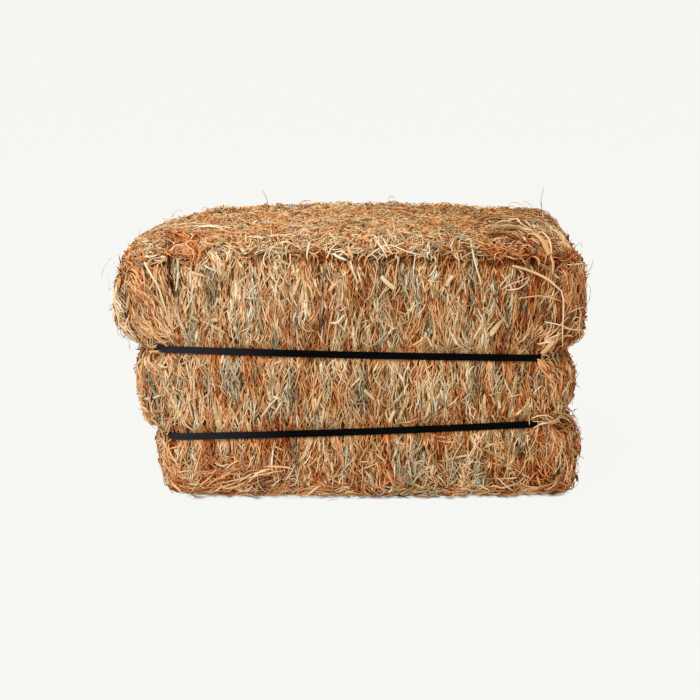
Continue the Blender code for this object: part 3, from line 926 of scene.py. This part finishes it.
class StrandPile:
    # collects strands of one ring count until they are made into a piece
    def __init__(self, rings):
        self.rings = rings
        self.centres, self.outward, self.width, self.thick, self.twist = [], [], [], [], []
        self.tone, self.stain, self.shade = [], [], []

    def add(self, centre, outward, width, tone, stain, shade, flatness, twist=0.0,
            taper=(0.5, 1.0, 0.92, 0.4)):
        # width in millimetres; taper: its share at the root, near it, near the tip and at the tip
        share = np.linspace(0.0, 1.0, self.rings)
        half = np.interp(share, (0.0, 0.15, 0.85, 1.0), taper) * width / 2000.0
        self.centres.append(centre)
        self.outward.append(outward)
        self.width.append(half)
        self.thick.append(half * flatness)
        self.twist.append(twist * (share - 0.5))
        self.tone.append(tone)
        self.stain.append(stain)
        self.shade.append(shade)

    def make(self, name, paintedSideShade, material):
        shade = np.array(self.shade) * (1.0 + woodColours["sideMakeup"] * paintedSideShade)
        traits = {"woodTone": np.clip(self.tone, 0.0, 1.0), "greyStain": np.clip(self.stain, 0.0, 1.0),
                  "strandShade": np.clip(shade, 0.4, 1.4)}
        piece = strandBodies(name, np.array(self.centres), np.array(self.outward), np.array(self.width),
                             np.array(self.thick), np.array(self.twist), traits, paintedSideShade)
        dress(piece, material)
        count = len(self.centres)
        print(name, count, "strands,", count * ((self.rings - 1) * 6 + 2), "triangles")


# route, how many, spread in pixels, width in mm, tone, stain, shade, lift in mm (low, high),
# length against the usual
bundles = (
    # upper left: orange tuft, grey streaks, the cream fan and the sweep down to the strap
    (((172, 233), (183, 241), (193, 252), (190, 262)), 74, 10, 1.9, 0.10, 0.0, 1.00, (3, 9), 1.0),
    (((174, 234), (188, 238), (205, 248)), 50, 12, 1.8, 0.12, 0.0, 1.02, (3, 9), 1.1),
    (((168, 246), (184, 249), (203, 251)), 44, 12, 1.8, 0.14, 0.0, 1.00, (3, 8), 1.0),
    (((168, 241), (168, 262), (171, 280), (174, 297)), 30, 3, 2.0, 0.20, 1.0, 0.74, (3, 6), 1.0),
    (((174, 242), (175, 262), (178, 290)), 18, 3, 1.8, 0.80, 1.0, 1.00, (3, 6), 1.0),
    (((205, 277), (209, 288), (214, 298)), 20, 3, 1.8, 0.45, 1.0, 0.84, (3, 6), 1.0),
    (((210, 252), (217, 262), (225, 276)), 24, 7, 2.0, 0.68, 0.0, 0.94, (2, 5), 1.0),
    (((228, 256), (222, 268), (219, 282)), 16, 6, 2.0, 0.66, 0.1, 0.94, (2, 5), 1.0),
    (((124, 248), (131, 262), (139, 278), (150, 296)), 30, 10, 2.2, 0.27, 0.0, 1.02, (1, 5), 1.0),
    (((128, 272), (140, 290), (153, 310), (163, 330)), 32, 11, 2.2, 0.26, 0.0, 1.02, (1, 5), 1.0),
    (((150, 290), (160, 306), (168, 324), (174, 340)), 26, 8, 2.3, 0.62, 0.0, 1.10, (1, 5), 1.0),
    (((136, 318), (148, 328), (160, 336), (170, 341)), 30, 7, 2.0, 0.45, 0.0, 1.08, (1, 6), 1.0),
    (((132, 240), (140, 240), (150, 246), (162, 240)), 26, 6, 2.0, 0.62, 0.5, 1.05, (1, 5), 1.0),
    # fringe hanging under the upper lobe's left end
    (((118, 302), (121, 315), (128, 328), (138, 340)), 50, 5, 1.5, 0.72, 0.0, 1.16, (3, 12), 1.0),
    (((124, 322), (131, 332), (141, 341), (152, 347)), 44, 4, 1.5, 0.58, 0.0, 1.14, (3, 10), 1.0),
    (((116, 288), (119, 300), (124, 312)), 26, 5, 1.5, 0.82, 0.1, 1.14, (2, 10), 1.0),
    (((144, 338), (151, 342), (158, 346)), 16, 2, 1.5, 0.52, 0.0, 1.04, (6, 10), 0.5),
    (((147, 355), (154, 353), (161, 354)), 10, 1, 1.5, 0.42, 0.0, 1.00, (5, 9), 0.5),
    # top right: the grey tuft and the grey-brown mat that flows to the right end
    (((527, 203), (534, 208), (542, 212), (547, 219)), 30, 3, 1.7, 0.55, 0.9, 1.00, (2, 7), 1.0),
    (((478, 222), (500, 219), (525, 222), (546, 231), (558, 243)), 70, 18, 2.5, 0.48, 0.75, 0.92, (3, 6), 2.0),
    (((484, 230), (505, 229), (530, 233), (552, 246), (564, 258)), 58, 13, 2.5, 0.50, 0.60, 0.90, (3, 6), 2.0),
    # dark red-brown strands in the gap under the mat: their darkness is painted shade
    (((486, 236), (505, 238), (524, 244)), 20, 4, 2.2, 0.20, 0.5, 0.72, (5, 7), 1.3),
    (((545, 226), (560, 238), (570, 254), (577, 272)), 56, 9, 2.1, 0.54, 0.2, 1.12, (1, 5), 1.5),
    (((574, 262), (581, 278), (584, 296), (582, 314)), 44, 5, 2.1, 0.42, 0.1, 0.96, (1, 5), 1.0),
    (((562, 262), (568, 280), (572, 300), (570, 320)), 44, 7, 2.2, 0.34, 0.1, 0.92, (0, 4), 1.0),
    # deep red-brown strands in the recess under the mat: their dark red is painted shade of the recess
    (((478, 246), (500, 251), (530, 250), (552, 262)), 80, 9, 1.8, 0.10, 0.0, 0.90, (3, 7), 0.8),
    (((524, 242), (538, 252), (552, 262)), 30, 6, 2.0, 0.20, 0.0, 0.85, (3, 7), 1.0),
    (((562, 331), (552, 340), (546, 349)), 13, 6, 2.4, 0.60, 0.0, 1.04, (1, 5), 1.0),
    (((545, 312), (535, 330), (528, 345)), 22, 7, 2.2, 0.55, 0.2, 0.95, (0, 4), 1.0),
    (((541, 296), (546, 310), (549, 326)), 14, 4, 2.0, 0.20, 1.0, 0.92, (1, 4), 1.0),
    # right ends of the straps, the tuft between the lower lobes
    (((532, 420), (546, 418), (560, 418), (572, 414)), 30, 4, 2.6, 0.62, 0.0, 1.06, (6, 10), 1.2),
    (((540, 357), (548, 368), (556, 384), (560, 400)), 30, 7, 2.2, 0.38, 0.0, 0.95, (0, 5), 1.0),
    (((565, 352), (568, 368), (566, 386), (560, 402)), 34, 6, 2.2, 0.48, 0.0, 0.98, (1, 5), 1.0),
    (((567, 412), (572, 424), (575, 438), (576, 452)), 34, 3, 1.6, 0.24, 0.0, 1.00, (4, 12), 1.0),
    (((548, 424), (556, 440), (558, 458), (552, 474)), 34, 8, 2.1, 0.42, 0.0, 0.98, (1, 5), 1.0),
    (((540, 430), (534, 438), (540, 446)), 20, 7, 2.0, 0.22, 0.0, 0.98, (1, 5), 1.0),
    (((568, 428), (571, 446), (570, 466), (566, 482)), 30, 4, 2.0, 0.50, 0.0, 1.00, (1, 5), 1.0),
    # bottom edge: strands lying lengthwise
    (((171, 483), (188, 487), (205, 488), (222, 484)), 22, 3, 2.1, 0.38, 0.0, 0.98, (2, 7), 1.0),
    (((176, 490), (205, 492), (240, 492), (268, 493)), 18, 4, 2.2, 0.36, 0.0, 1.00, (2, 8), 1.0),
    (((205, 489), (226, 483), (248, 475), (272, 470), (292, 466)), 16, 3, 2.3, 0.42, 0.0, 1.02, (4, 9), 1.4),
    (((165, 446), (170, 460), (178, 472), (192, 482)), 34, 9, 2.1, 0.34, 0.0, 1.04, (1, 4), 0.8),
    (((196, 480), (222, 472), (246, 462)), 24, 8, 2.1, 0.36, 0.0, 1.02, (1, 5), 0.9),
    (((262, 494), (278, 488), (290, 477)), 16, 4, 2.1, 0.28, 0.0, 1.00, (2, 7), 1.0),
    (((283, 479), (291, 473), (298, 467)), 8, 3, 1.8, 0.52, 0.7, 0.94, (4, 8), 1.0),
    (((296, 492), (318, 489), (345, 494)), 22, 3, 2.1, 0.40, 0.0, 1.00, (2, 7), 1.0),
    (((316, 479), (324, 485), (332, 490)), 16, 5, 2.0, 0.14, 0.0, 0.98, (1, 5), 1.0),
    (((345, 493), (385, 495), (430, 494), (470, 493)), 22, 4, 2.1, 0.36, 0.1, 0.98, (2, 7), 1.0),
    (((440, 486), (475, 490), (510, 488), (548, 482)), 20, 6, 2.2, 0.42, 0.1, 1.00, (2, 7), 1.0),
    (((500, 494), (525, 492), (550, 487), (564, 478)), 16, 5, 2.1, 0.40, 0.0, 0.95, (2, 7), 1.0),
    (((232, 452), (238, 464), (246, 472)), 16, 4, 2.0, 0.24, 0.0, 1.00, (1, 5), 1.0),
    # the top's left front edge, and the left waists
    (((158, 231), (174, 228), (200, 228), (226, 230)), 18, 5, 1.9, 0.74, 0.25, 1.04, (2, 6), 1.8),
    (((150, 236), (165, 226), (186, 217), (204, 210)), 30, 8, 1.9, 0.60, 0.40, 1.00, (1, 5), 1.3),
    (((139, 360), (140, 378), (141, 396), (148, 414)), 50, 5, 2.1, 0.46, 0.0, 1.04, (0, 4), 0.8),
    (((146, 356), (152, 366), (160, 374)), 20, 6, 2.1, 0.50, 0.0, 1.04, (1, 5), 0.8),
    (((157, 440), (158, 456), (160, 472), (168, 486)), 46, 4, 2.0, 0.36, 0.0, 1.06, (0, 4), 0.8),
)

# route, width in mm, tone, stain, shade, lift in mm at each route point
singles = (
    (((268, 206), (267, 200), (265, 195), (262, 190)), 1.8, 0.45, 0.0, 0.95, (1, 6, 6, 6)),
    (((542, 209), (541, 201), (542, 194), (544, 187)), 1.5, 0.36, 0.0, 0.95, (1, 6, 6, 6)),
    (((121, 252), (111, 258), (105, 266), (101, 277)), 1.1, 0.70, 0.0, 1.20, (1, 3, 3, 3)),
    (((115, 262), (109, 272), (109, 284), (109, 291)), 1.1, 0.65, 0.0, 1.20, (1, 3, 3, 3)),
    (((118, 283), (110, 289), (104, 296)), 1.1, 0.70, 0.0, 1.20, (1, 3, 3)),
    (((118, 300), (112, 308), (113, 318), (118, 326)), 1.4, 0.62, 0.0, 1.15, (1, 3, 3, 3)),
    (((122, 312), (112, 322), (106, 332)), 1.0, 0.60, 0.0, 1.20, (1, 3, 3)),
    (((124, 322), (120, 332), (128, 340)), 1.4, 0.30, 0.0, 1.05, (1, 3, 3)),
    (((130, 333), (129, 342), (130, 350)), 1.3, 0.65, 0.0, 1.10, (1, 3, 3)),
    (((145, 264), (152, 275), (159, 285), (163, 300), (168, 318)), 3.6, 0.78, 0.0, 1.04, (5, 6, 6, 6, 4)),
    (((158, 283), (168, 292), (178, 301)), 1.7, 0.34, 0.0, 1.08, (6, 6, 5)),
    (((203, 228), (217, 229), (233, 231)), 1.8, 0.96, 0.0, 1.12, (5, 6, 5)),
    (((163, 233), (170, 236)), 2.4, 0.92, 0.0, 1.08, (3, 3)),
    (((193, 235), (189, 243), (190, 253)), 2.5, 0.78, 0.0, 1.12, (5, 7, 5)),
    (((240, 248), (246, 256)), 6.0, 0.84, 0.0, 1.00, (6, 6)),
    (((256, 250), (264, 252), (275, 254), (285, 256)), 2.1, 0.45, 1.0, 1.00, (5, 7, 7, 5)),
    (((240, 244), (248, 240), (257, 241), (266, 239)), 1.8, 0.96, 0.0, 1.12, (5, 7, 7, 5)),
    (((266, 268), (264, 260), (267, 252)), 1.8, 0.95, 0.0, 1.08, (4, 6, 5)),
    (((366, 258), (377, 251), (389, 247), (400, 252), (412, 255), (425, 256)), 1.9, 0.98, 0.0, 1.12,
     (4, 7, 8, 8, 7, 5)),
    (((374, 235), (378, 245), (384, 253), (388, 259)), 2.3, 0.95, 0.0, 1.10, (4, 8, 7, 5)),
    (((381, 238), (386, 247), (393, 256)), 2.0, 0.92, 0.0, 1.10, (4, 8, 6)),
    (((350, 261), (353, 272), (358, 283)), 2.6, 0.96, 0.1, 1.08, (4, 5, 4)),
    (((415, 255), (413, 266), (412, 277)), 1.4, 0.96, 0.0, 1.10, (6, 6, 5)),
    (((306, 246), (318, 238), (332, 233)), 1.5, 0.60, 0.8, 1.05, (4, 7, 5)),
    (((327, 259), (332, 250), (342, 243)), 2.4, 0.80, 0.1, 1.08, (5, 7, 5)),
    (((470, 243), (472, 255), (476, 270), (482, 284)), 2.9, 0.84, 0.0, 1.10, (6, 8, 7, 5)),
    (((512, 266), (525, 270), (540, 276), (552, 282), (562, 292)), 4.4, 0.54, 0.0, 1.02, (5, 7, 8, 7, 4)),
    (((561, 290), (563, 302), (562, 322), (561, 346)), 2.6, 0.74, 0.1, 1.05, (5, 6, 7, 6)),
    (((527, 236), (535, 239), (543, 246), (549, 255)), 9.0, 0.56, 0.0, 0.93, (6, 9, 10, 8)),
    (((533, 236), (541, 236), (549, 246), (552, 257)), 3.4, 0.66, 0.0, 1.02, (8, 11, 11, 8)),
    (((549, 243), (546, 256), (542, 270)), 2.4, 0.48, 0.0, 1.00, (4, 6, 4)),
    (((551, 256), (553, 264), (553, 273)), 4.4, 0.60, 0.1, 0.95, (10, 10, 8)),
    (((518, 298), (530, 296), (545, 296), (561, 300)), 2.0, 0.40, 0.0, 1.05, (5, 7, 7, 6)),
    (((500, 289), (512, 282), (527, 277)), 1.5, 0.80, 0.1, 1.05, (4, 7, 6)),
    (((506, 289), (520, 287), (528, 278)), 1.8, 0.90, 0.1, 1.08, (5, 7, 6)),
    (((499, 286), (505, 278), (510, 273)), 1.7, 0.90, 0.1, 1.08, (4, 6, 5)),
    (((566, 265), (574, 265), (583, 265)), 1.9, 0.96, 0.0, 1.12, (4, 6, 6)),
    (((572, 250), (577, 245), (581, 243), (582, 248)), 1.8, 0.66, 0.0, 1.05, (3, 4, 4, 4)),
    (((580, 274), (586, 273), (591, 268), (593, 259)), 1.7, 0.50, 0.2, 1.00, (2, 4, 4, 4)),
    (((585, 284), (590, 287), (590, 297), (587, 305)), 1.8, 0.74, 0.0, 1.10, (2, 4, 4, 2)),
    (((562, 327), (575, 329), (589, 330)), 2.1, 0.58, 0.0, 1.08, (5, 6, 6)),
    (((577, 302), (578, 314), (577, 327), (578, 338)), 3.0, 0.36, 0.0, 1.08, (3, 5, 5, 5)),
    (((568, 313), (573, 309), (581, 307), (588, 309)), 1.9, 0.60, 0.0, 1.05, (3, 5, 5, 4)),
    (((571, 321), (572, 317), (576, 317), (577, 321), (573, 322)), 1.5, 0.70, 0.0, 1.08, (3, 6, 6, 6, 3)),
    (((545, 321), (556, 323), (567, 327)), 2.1, 0.78, 0.0, 1.08, (5, 6, 5)),
    (((541, 353), (547, 348), (555, 340)), 7.5, 0.60, 0.0, 0.96, (5, 6, 5)),
    (((541, 358), (541, 354), (545, 353), (547, 357), (544, 360)), 1.7, 0.60, 0.0, 1.00, (3, 6, 7, 6, 3)),
    (((529, 414), (529, 424)), 1.7, 0.70, 0.0, 1.05, (4, 4)),
    (((537, 416), (537, 430), (534, 442), (526, 452)), 1.8, 0.66, 0.6, 1.02, (5, 6, 6, 5)),
    (((574, 451), (579, 455), (584, 459)), 2.2, 0.56, 0.0, 1.08, (2, 4, 4)),
    (((573, 443), (577, 446), (581, 448)), 1.6, 0.46, 0.0, 1.08, (2, 4, 4)),
    (((569, 410), (573, 411), (577, 408)), 1.6, 0.60, 0.0, 1.08, (2, 4, 4)),
    (((570, 467), (574, 461), (578, 463), (579, 470), (577, 476)), 1.4, 0.66, 0.0, 1.05, (2, 3, 3, 3, 3)),
    (((568, 482), (573, 488), (577, 485), (579, 479)), 1.4, 0.60, 0.0, 1.05, (2, 3, 3, 3)),
    (((570, 474), (575, 469), (579, 472)), 1.4, 0.66, 0.0, 1.05, (2, 3, 3)),
    (((575, 473), (578, 480)), 7.5, 0.58, 0.0, 1.00, (3, 3)),
    (((382, 276), (388, 282), (395, 288)), 7.5, 0.70, 0.1, 1.02, (5, 6, 4)),
    (((446, 286), (449, 280), (453, 275)), 6.5, 0.70, 0.2, 1.00, (5, 6, 4)),
    (((491, 334), (496, 326), (502, 319)), 9.0, 0.66, 0.0, 0.98, (4, 4, 4)),
    (((364, 389), (373, 399)), 5.5, 0.72, 0.1, 0.98, (4, 4)),
    (((390, 421), (395, 410)), 5.5, 0.70, 0.0, 1.00, (4, 4)),
    (((437, 398), (446, 405)), 7.0, 0.60, 0.9, 0.85, (4, 4)),
    (((211, 320), (218, 319)), 7.0, 0.68, 0.0, 0.95, (4, 4)),
    (((190, 315), (199, 320)), 5.0, 0.66, 0.0, 0.95, (5, 5)),
    (((214, 325), (225, 332)), 5.0, 0.64, 0.0, 0.94, (5, 5)),
    (((331, 322), (338, 321), (345, 313)), 4.0, 0.86, 0.1, 1.08, (5, 6, 5)),
    (((262, 416), (270, 405), (279, 396)), 2.4, 0.90, 0.0, 1.08, (4, 6, 5)),
    (((288, 480), (294, 478), (300, 482)), 1.8, 0.60, 0.8, 1.02, (6, 7, 6)),
    (((296, 468), (297, 476), (299, 484)), 1.8, 0.66, 0.7, 1.05, (7, 8, 6)),
    (((244, 478), (262, 473), (285, 469)), 1.8, 0.66, 0.1, 1.08, (6, 8, 7)),
    (((214, 462), (222, 465), (230, 463)), 3.0, 0.80, 0.0, 0.98, (5, 6, 5)),
    (((168, 484), (170, 490), (174, 494)), 1.7, 0.36, 0.0, 1.00, (2, 3, 3)),
    (((163, 218), (168, 220), (172, 218)), 1.4, 0.36, 0.0, 1.05, (1, 4, 3)),
    (((172, 217), (175, 212), (180, 210), (183, 212)), 1.3, 0.40, 0.0, 1.05, (1, 4, 4, 3)),
    (((202, 211), (203, 207), (207, 208), (212, 209)), 1.6, 0.70, 0.6, 1.00, (1, 5, 5, 2)),
    (((250, 208), (252, 205)), 1.4, 0.36, 0.0, 1.00, (1, 5)),
    (((302, 202), (304, 200), (308, 201)), 1.6, 0.60, 0.0, 1.05, (1, 4, 2)),
    (((388, 199), (391, 196), (395, 198)), 2.0, 0.36, 0.0, 0.98, (1, 4, 2)),
    (((508, 205), (513, 202), (519, 204), (524, 206)), 1.8, 0.56, 0.0, 1.05, (1, 4, 4, 1)),
    (((523, 201), (528, 203), (533, 207)), 1.8, 0.70, 0.3, 1.05, (5, 5, 3)),
    (((549, 217), (553, 217), (557, 220), (558, 225)), 1.7, 0.36, 0.0, 1.00, (2, 4, 4, 2)),
)


bundleLook = {
    "rings": 6,
    "pieces": (0.018, 0.056),  # shortest and longest strand
    "lean": 0.26,              # how far one strand leans from its bundle, in radians
    "bend": 0.10,              # how far it bends, and waves, as a share of its length
    "wave": 0.04,
    "widening": 1.15,
    "widthSpread": 0.30,
    "toneShift": -0.02,
    "toneSpread": 0.15,
    "shadeSpread": 0.13,
    "flatness": (0.3, 0.65),
    "paintedSideShade": 0.20,
    "pixel": 0.0016,           # metres that one pixel covers at the front
    "farthest": 0.004,         # from the wool, beside the outline
}


def layBundles(look, seed):
    chance = random.Random(seed)
    pile = StrandPile(look["rings"])
    share = np.linspace(0.0, 1.0, pile.rings)
    for route, count, spread, width, tone, stain, shade, (low, high), stretch in bundles:
        spots = [placeAt(px, py, 0.0, look["farthest"]) for px, py in smoothRoute(route, 40)]
        line = np.array([spot for spot, _ in spots])
        outward = np.array([normal for _, normal in spots])
        steps = np.linalg.norm(np.diff(line, axis=0), axis=1)
        reach = np.concatenate(([0.0], np.cumsum(steps)))
        heading = np.gradient(line, axis=0)
        side = np.cross(outward, heading)
        side /= np.linalg.norm(side, axis=1)[:, None] + 1e-9
        for _ in range(count):
            piece = stretch * chance.uniform(*look["pieces"])
            start = chance.uniform(-0.2 * piece, max(0.0, reach[-1] - 0.8 * piece))
            along = np.clip(start + piece * share, 0.0, reach[-1])
            middle = np.stack([np.interp(along, reach, line[:, k]) for k in range(3)], axis=1)
            across = np.stack([np.interp(along, reach, side[:, k]) for k in range(3)], axis=1)
            offset = chance.gauss(0.0, 0.5) * spread * look["pixel"]
            offset = offset + math.tan(chance.gauss(0.0, look["lean"] / stretch)) * piece * (share - 0.5)
            offset = offset + chance.gauss(0.0, look["bend"]) * piece * np.sin(math.pi * share)
            offset = offset + chance.gauss(0.0, look["wave"]) * piece * np.sin(2.0 * math.pi * share)
            top = chance.uniform(low, high)
            last = chance.choice((-1.5, 0.3, top))  # the tip dives in, lies on the wool or stands free
            heights = (top * 0.3 - 1.8, top, top * chance.uniform(0.7, 1.1), last)
            lift = np.interp(share, (0.0, 0.3, 0.7, 1.0), heights)
            centre, normals = [], []
            for spot, height in zip(middle + across * offset[:, None], lift / 1000.0):
                near, normal, _, _ = guideTree.find_nearest(Vector(spot))
                centre.append(near + normal * height)
                normals.append(normal)
            pile.add(np.array(centre), np.array(normals),
                     look["widening"] * width * math.exp(chance.gauss(0.0, look["widthSpread"])),
                     tone + look["toneShift"] + chance.gauss(0.0, look["toneSpread"]),
                     stain * chance.uniform(0.6, 1.2) if stain else max(0.0, chance.gauss(-0.3, 0.35)),
                     shade * math.exp(chance.gauss(0.0, look["shadeSpread"])),
                     chance.uniform(*look["flatness"]), chance.gauss(0.0, 1.0))
    pile.make("bundledStrands", look["paintedSideShade"], strandMaterial)


singleLook = {
    "rings": 11,
    "thinnest": 1.6,           # millimetres
    "ribbonFrom": 3.5,         # wider ones are flat
    "chipFrom": 5.0,           # and still wider ones have blunt ends
    "chipEnds": (0.95, 1.0, 1.0, 0.85),
    "strandEnds": (0.6, 1.0, 0.9, 0.35),
    "awayWidth": 1.35,         # strands that stand against the background are wider
    "awayShade": 0.88,         # and darker
    "deepest": 0.035,          # metres that a strand may go behind its nearest point
    "paintedSideShade": 0.06,
}


def laySingles(look, seed):
    chance = random.Random(seed)
    pile = StrandPile(look["rings"])
    for route, width, tone, stain, shade, lifts in singles:
        both = smoothRoute([(px, py, lift / 1000.0) for (px, py), lift in zip(route, lifts)], pile.rings)
        nearest = min(eyeLine(px, py, lift)[2] for px, py, lift in both)
        spots = [eyeLine(px, py, lift, nearest + look["deepest"])[:2] for px, py, lift in both]
        centre = np.array([spot for spot, _ in spots])
        centre[1:-1] = 0.25 * centre[:-2] + 0.5 * centre[1:-1] + 0.25 * centre[2:]
        misses = sum(guideTree.ray_cast(*pixelRay(px, py))[0] is None for px, py in route)
        if misses > 1:
            width, shade = width * look["awayWidth"], shade * look["awayShade"]
        flatness = 0.5 if width < look["ribbonFrom"] else 0.16
        taper = look["strandEnds"] if width < look["chipFrom"] else look["chipEnds"]
        pile.add(centre, np.array([normal for _, normal in spots]), max(width, look["thinnest"]),
                 tone, stain, shade, flatness, chance.gauss(0.0, 0.4), taper)
    pile.make("shownStrands", look["paintedSideShade"], strandMaterial)


layBundles(bundleLook, 21)
laySingles(singleLook, 22)


# one small scrap of blue film is caught in the top

scrap = {
    "route": ((290, 232), (293, 231), (296, 232)),
    "width": 2.8,    # millimetres
    "lift": 0.005,
    "flatness": 0.2,
    "colour": (0.070, 0.170, 0.620),
    # painted shade: a darker blue in the film's creases
    "paintedCreaseShade": (0.049, 0.119, 0.434),
    "creases": 400.0,  # per metre
    "roughness": 0.5,
}


def layScrap(look):
    made, nodes, links, shader = newMaterial("blueFilm")
    place = nodes.new("ShaderNodeTexCoord").outputs["Object"]
    # painted shade in the creases
    crease = noiseNode(nodes, links, place, look["creases"], 2.0)
    colour = ramp(nodes, links, crease, ((0.3, look["paintedCreaseShade"]), (0.7, look["colour"])))
    links.new(colour, shader.inputs["Base Color"])
    shader.inputs["Roughness"].default_value = look["roughness"]
    pile = StrandPile(5)
    spots = [placeAt(px, py, look["lift"]) for px, py in smoothRoute(look["route"], pile.rings)]
    pile.add(np.array([spot for spot, _ in spots]), np.array([normal for _, normal in spots]), look["width"],
             0.5, 0.0, 1.0, look["flatness"])
    pile.make("blueScrap", 0.0, made)


layScrap(scrap)


# the lip: strands of the top that hang over the front and back edges

lipWool = dict(
    frontWool, count=1150, segments=5, grain=(1.0, 0.0, 0.0), lean=34.0, looseShare=0.25, looseLean=90.0,
    length=0.023, longest=0.042, width=0.0020, widthSpread=0.35, curve=0.34, wiggle=0.28,
    arch=0.0034, weave=0.0008, deepest=0.0004, highest=0.0052, freeShare=0.20, freeReach=0.005,
    creviceDepth=0.0, paintedDepthShade=0.5, pleatDepth=0.0,
)
backLipWool = dict(lipWool, count=800, arch=0.0016, highest=0.0034, paintedSideShade=0.0)

lipBand = {
    "above": 0.0035,  # over the furrow
    "tall": 0.028,
    "side": 0.135,    # at least this far from the middle of the bale's depth
    "tilt": 0.2,      # and looking this much to the front or back
}

lipFoot = creviceAt(triMiddle[:, 0]) + lipBand["above"]
onLip = (triMiddle[:, 2] > lipFoot) & (triMiddle[:, 2] < lipFoot + lipBand["tall"])
onLip &= np.abs(triMiddle[:, 1]) > lipBand["side"]
triZone = np.where(onLip & (triNormal[:, 1] < -lipBand["tilt"]), "frontLip", triZone)
triZone = np.where(onLip & (triNormal[:, 1] > lipBand["tilt"]), "backLip", triZone)
growPatch("frontLipStrands", "frontLip", lipWool, 18)
growPatch("backLipStrands", "backLip", backLipWool, 19)


# straps keep their own solids

for name in ("strap_upper", "strap_lower"):
    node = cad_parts[name]
    node.data.materials.clear()
    node.data.materials.append(strapMaterial)
print("straps finished")


# pale floor and soft light

studio = {
    "pale": (0.913, 0.913, 0.879),  # the floor's colour as it is seen
    "world": 0.87,
    "worldColour": (1.0, 0.91, 0.78),
    "keyPower": 95.0,
    "keyColour": (0.98, 1.0, 1.03),
    "keyPlace": (-1.0, -1.7, 2.9),
    "keySize": 1.5,
    "backPower": 20.0,
    "backPlace": (0.7, 2.4, 2.6),
    "aim": (0.0, 0.0, 0.2),
    "floor": (0.015, 0.016, 0.018),
    "glow": 0.995,          # the floor's own light, which keeps it as pale as the room
    "paintedShadowReach": 0.006,  # how far the painted contact shadow spreads
}


def makeFloor(look):
    mesh = bmesh.new()
    bmesh.ops.create_grid(mesh, x_segments=1, y_segments=1, size=40.0)
    data = bpy.data.meshes.new("paleFloor")
    mesh.to_mesh(data)
    mesh.free()
    floor = bpy.data.objects.new("paleFloor", data)
    scene.collection.objects.link(floor)
    made, nodes, links, shader = newMaterial("palePaper")
    shader.inputs["Base Color"].default_value = (*look["floor"], 1.0)
    shader.inputs["Roughness"].default_value = 1.0
    shader.inputs["Specular IOR Level"].default_value = 0.0
    # painted shadow: ambient occlusion darkens the floor's glow where the bale meets it
    paintedContactShadow = nodes.new("ShaderNodeAmbientOcclusion")
    paintedContactShadow.inputs["Distance"].default_value = look["paintedShadowReach"]
    paintedContactShadow.inputs["Color"].default_value = (*look["pale"], 1.0)
    links.new(paintedContactShadow.outputs["Color"], shader.inputs["Emission Color"])
    shader.inputs["Emission Strength"].default_value = look["glow"]
    data.materials.append(made)


def areaLight(name, look, place, power):
    data = bpy.data.lights.new(name, "AREA")
    data.shape = "SQUARE"
    data.size = look["keySize"]
    data.energy = power
    data.color = look["keyColour"]
    light = bpy.data.objects.new(name, data)
    scene.collection.objects.link(light)
    light.location = place
    light.rotation_euler = (Vector(look["aim"]) - Vector(place)).to_track_quat("-Z", "Y").to_euler()


def makeStudio(look):
    makeFloor(look)
    areaLight("softKey", look, look["keyPlace"], look["keyPower"])
    areaLight("softBack", look, look["backPlace"], look["backPower"])
    world = bpy.data.worlds.new("paleRoom")
    world.use_nodes = True
    background = world.node_tree.nodes["Background"]
    background.inputs["Color"].default_value = (*look["worldColour"], 1.0)
    background.inputs["Strength"].default_value = look["world"]
    scene.world = world
    scene.view_settings.view_transform = "Standard"


makeStudio(studio)
print("floor and light set")
meshes = [thing.data for thing in scene.objects if thing.type == "MESH"]
print("triangles in all", sum(len(polygon.vertices) - 2 for mesh in meshes for polygon in mesh.polygons))
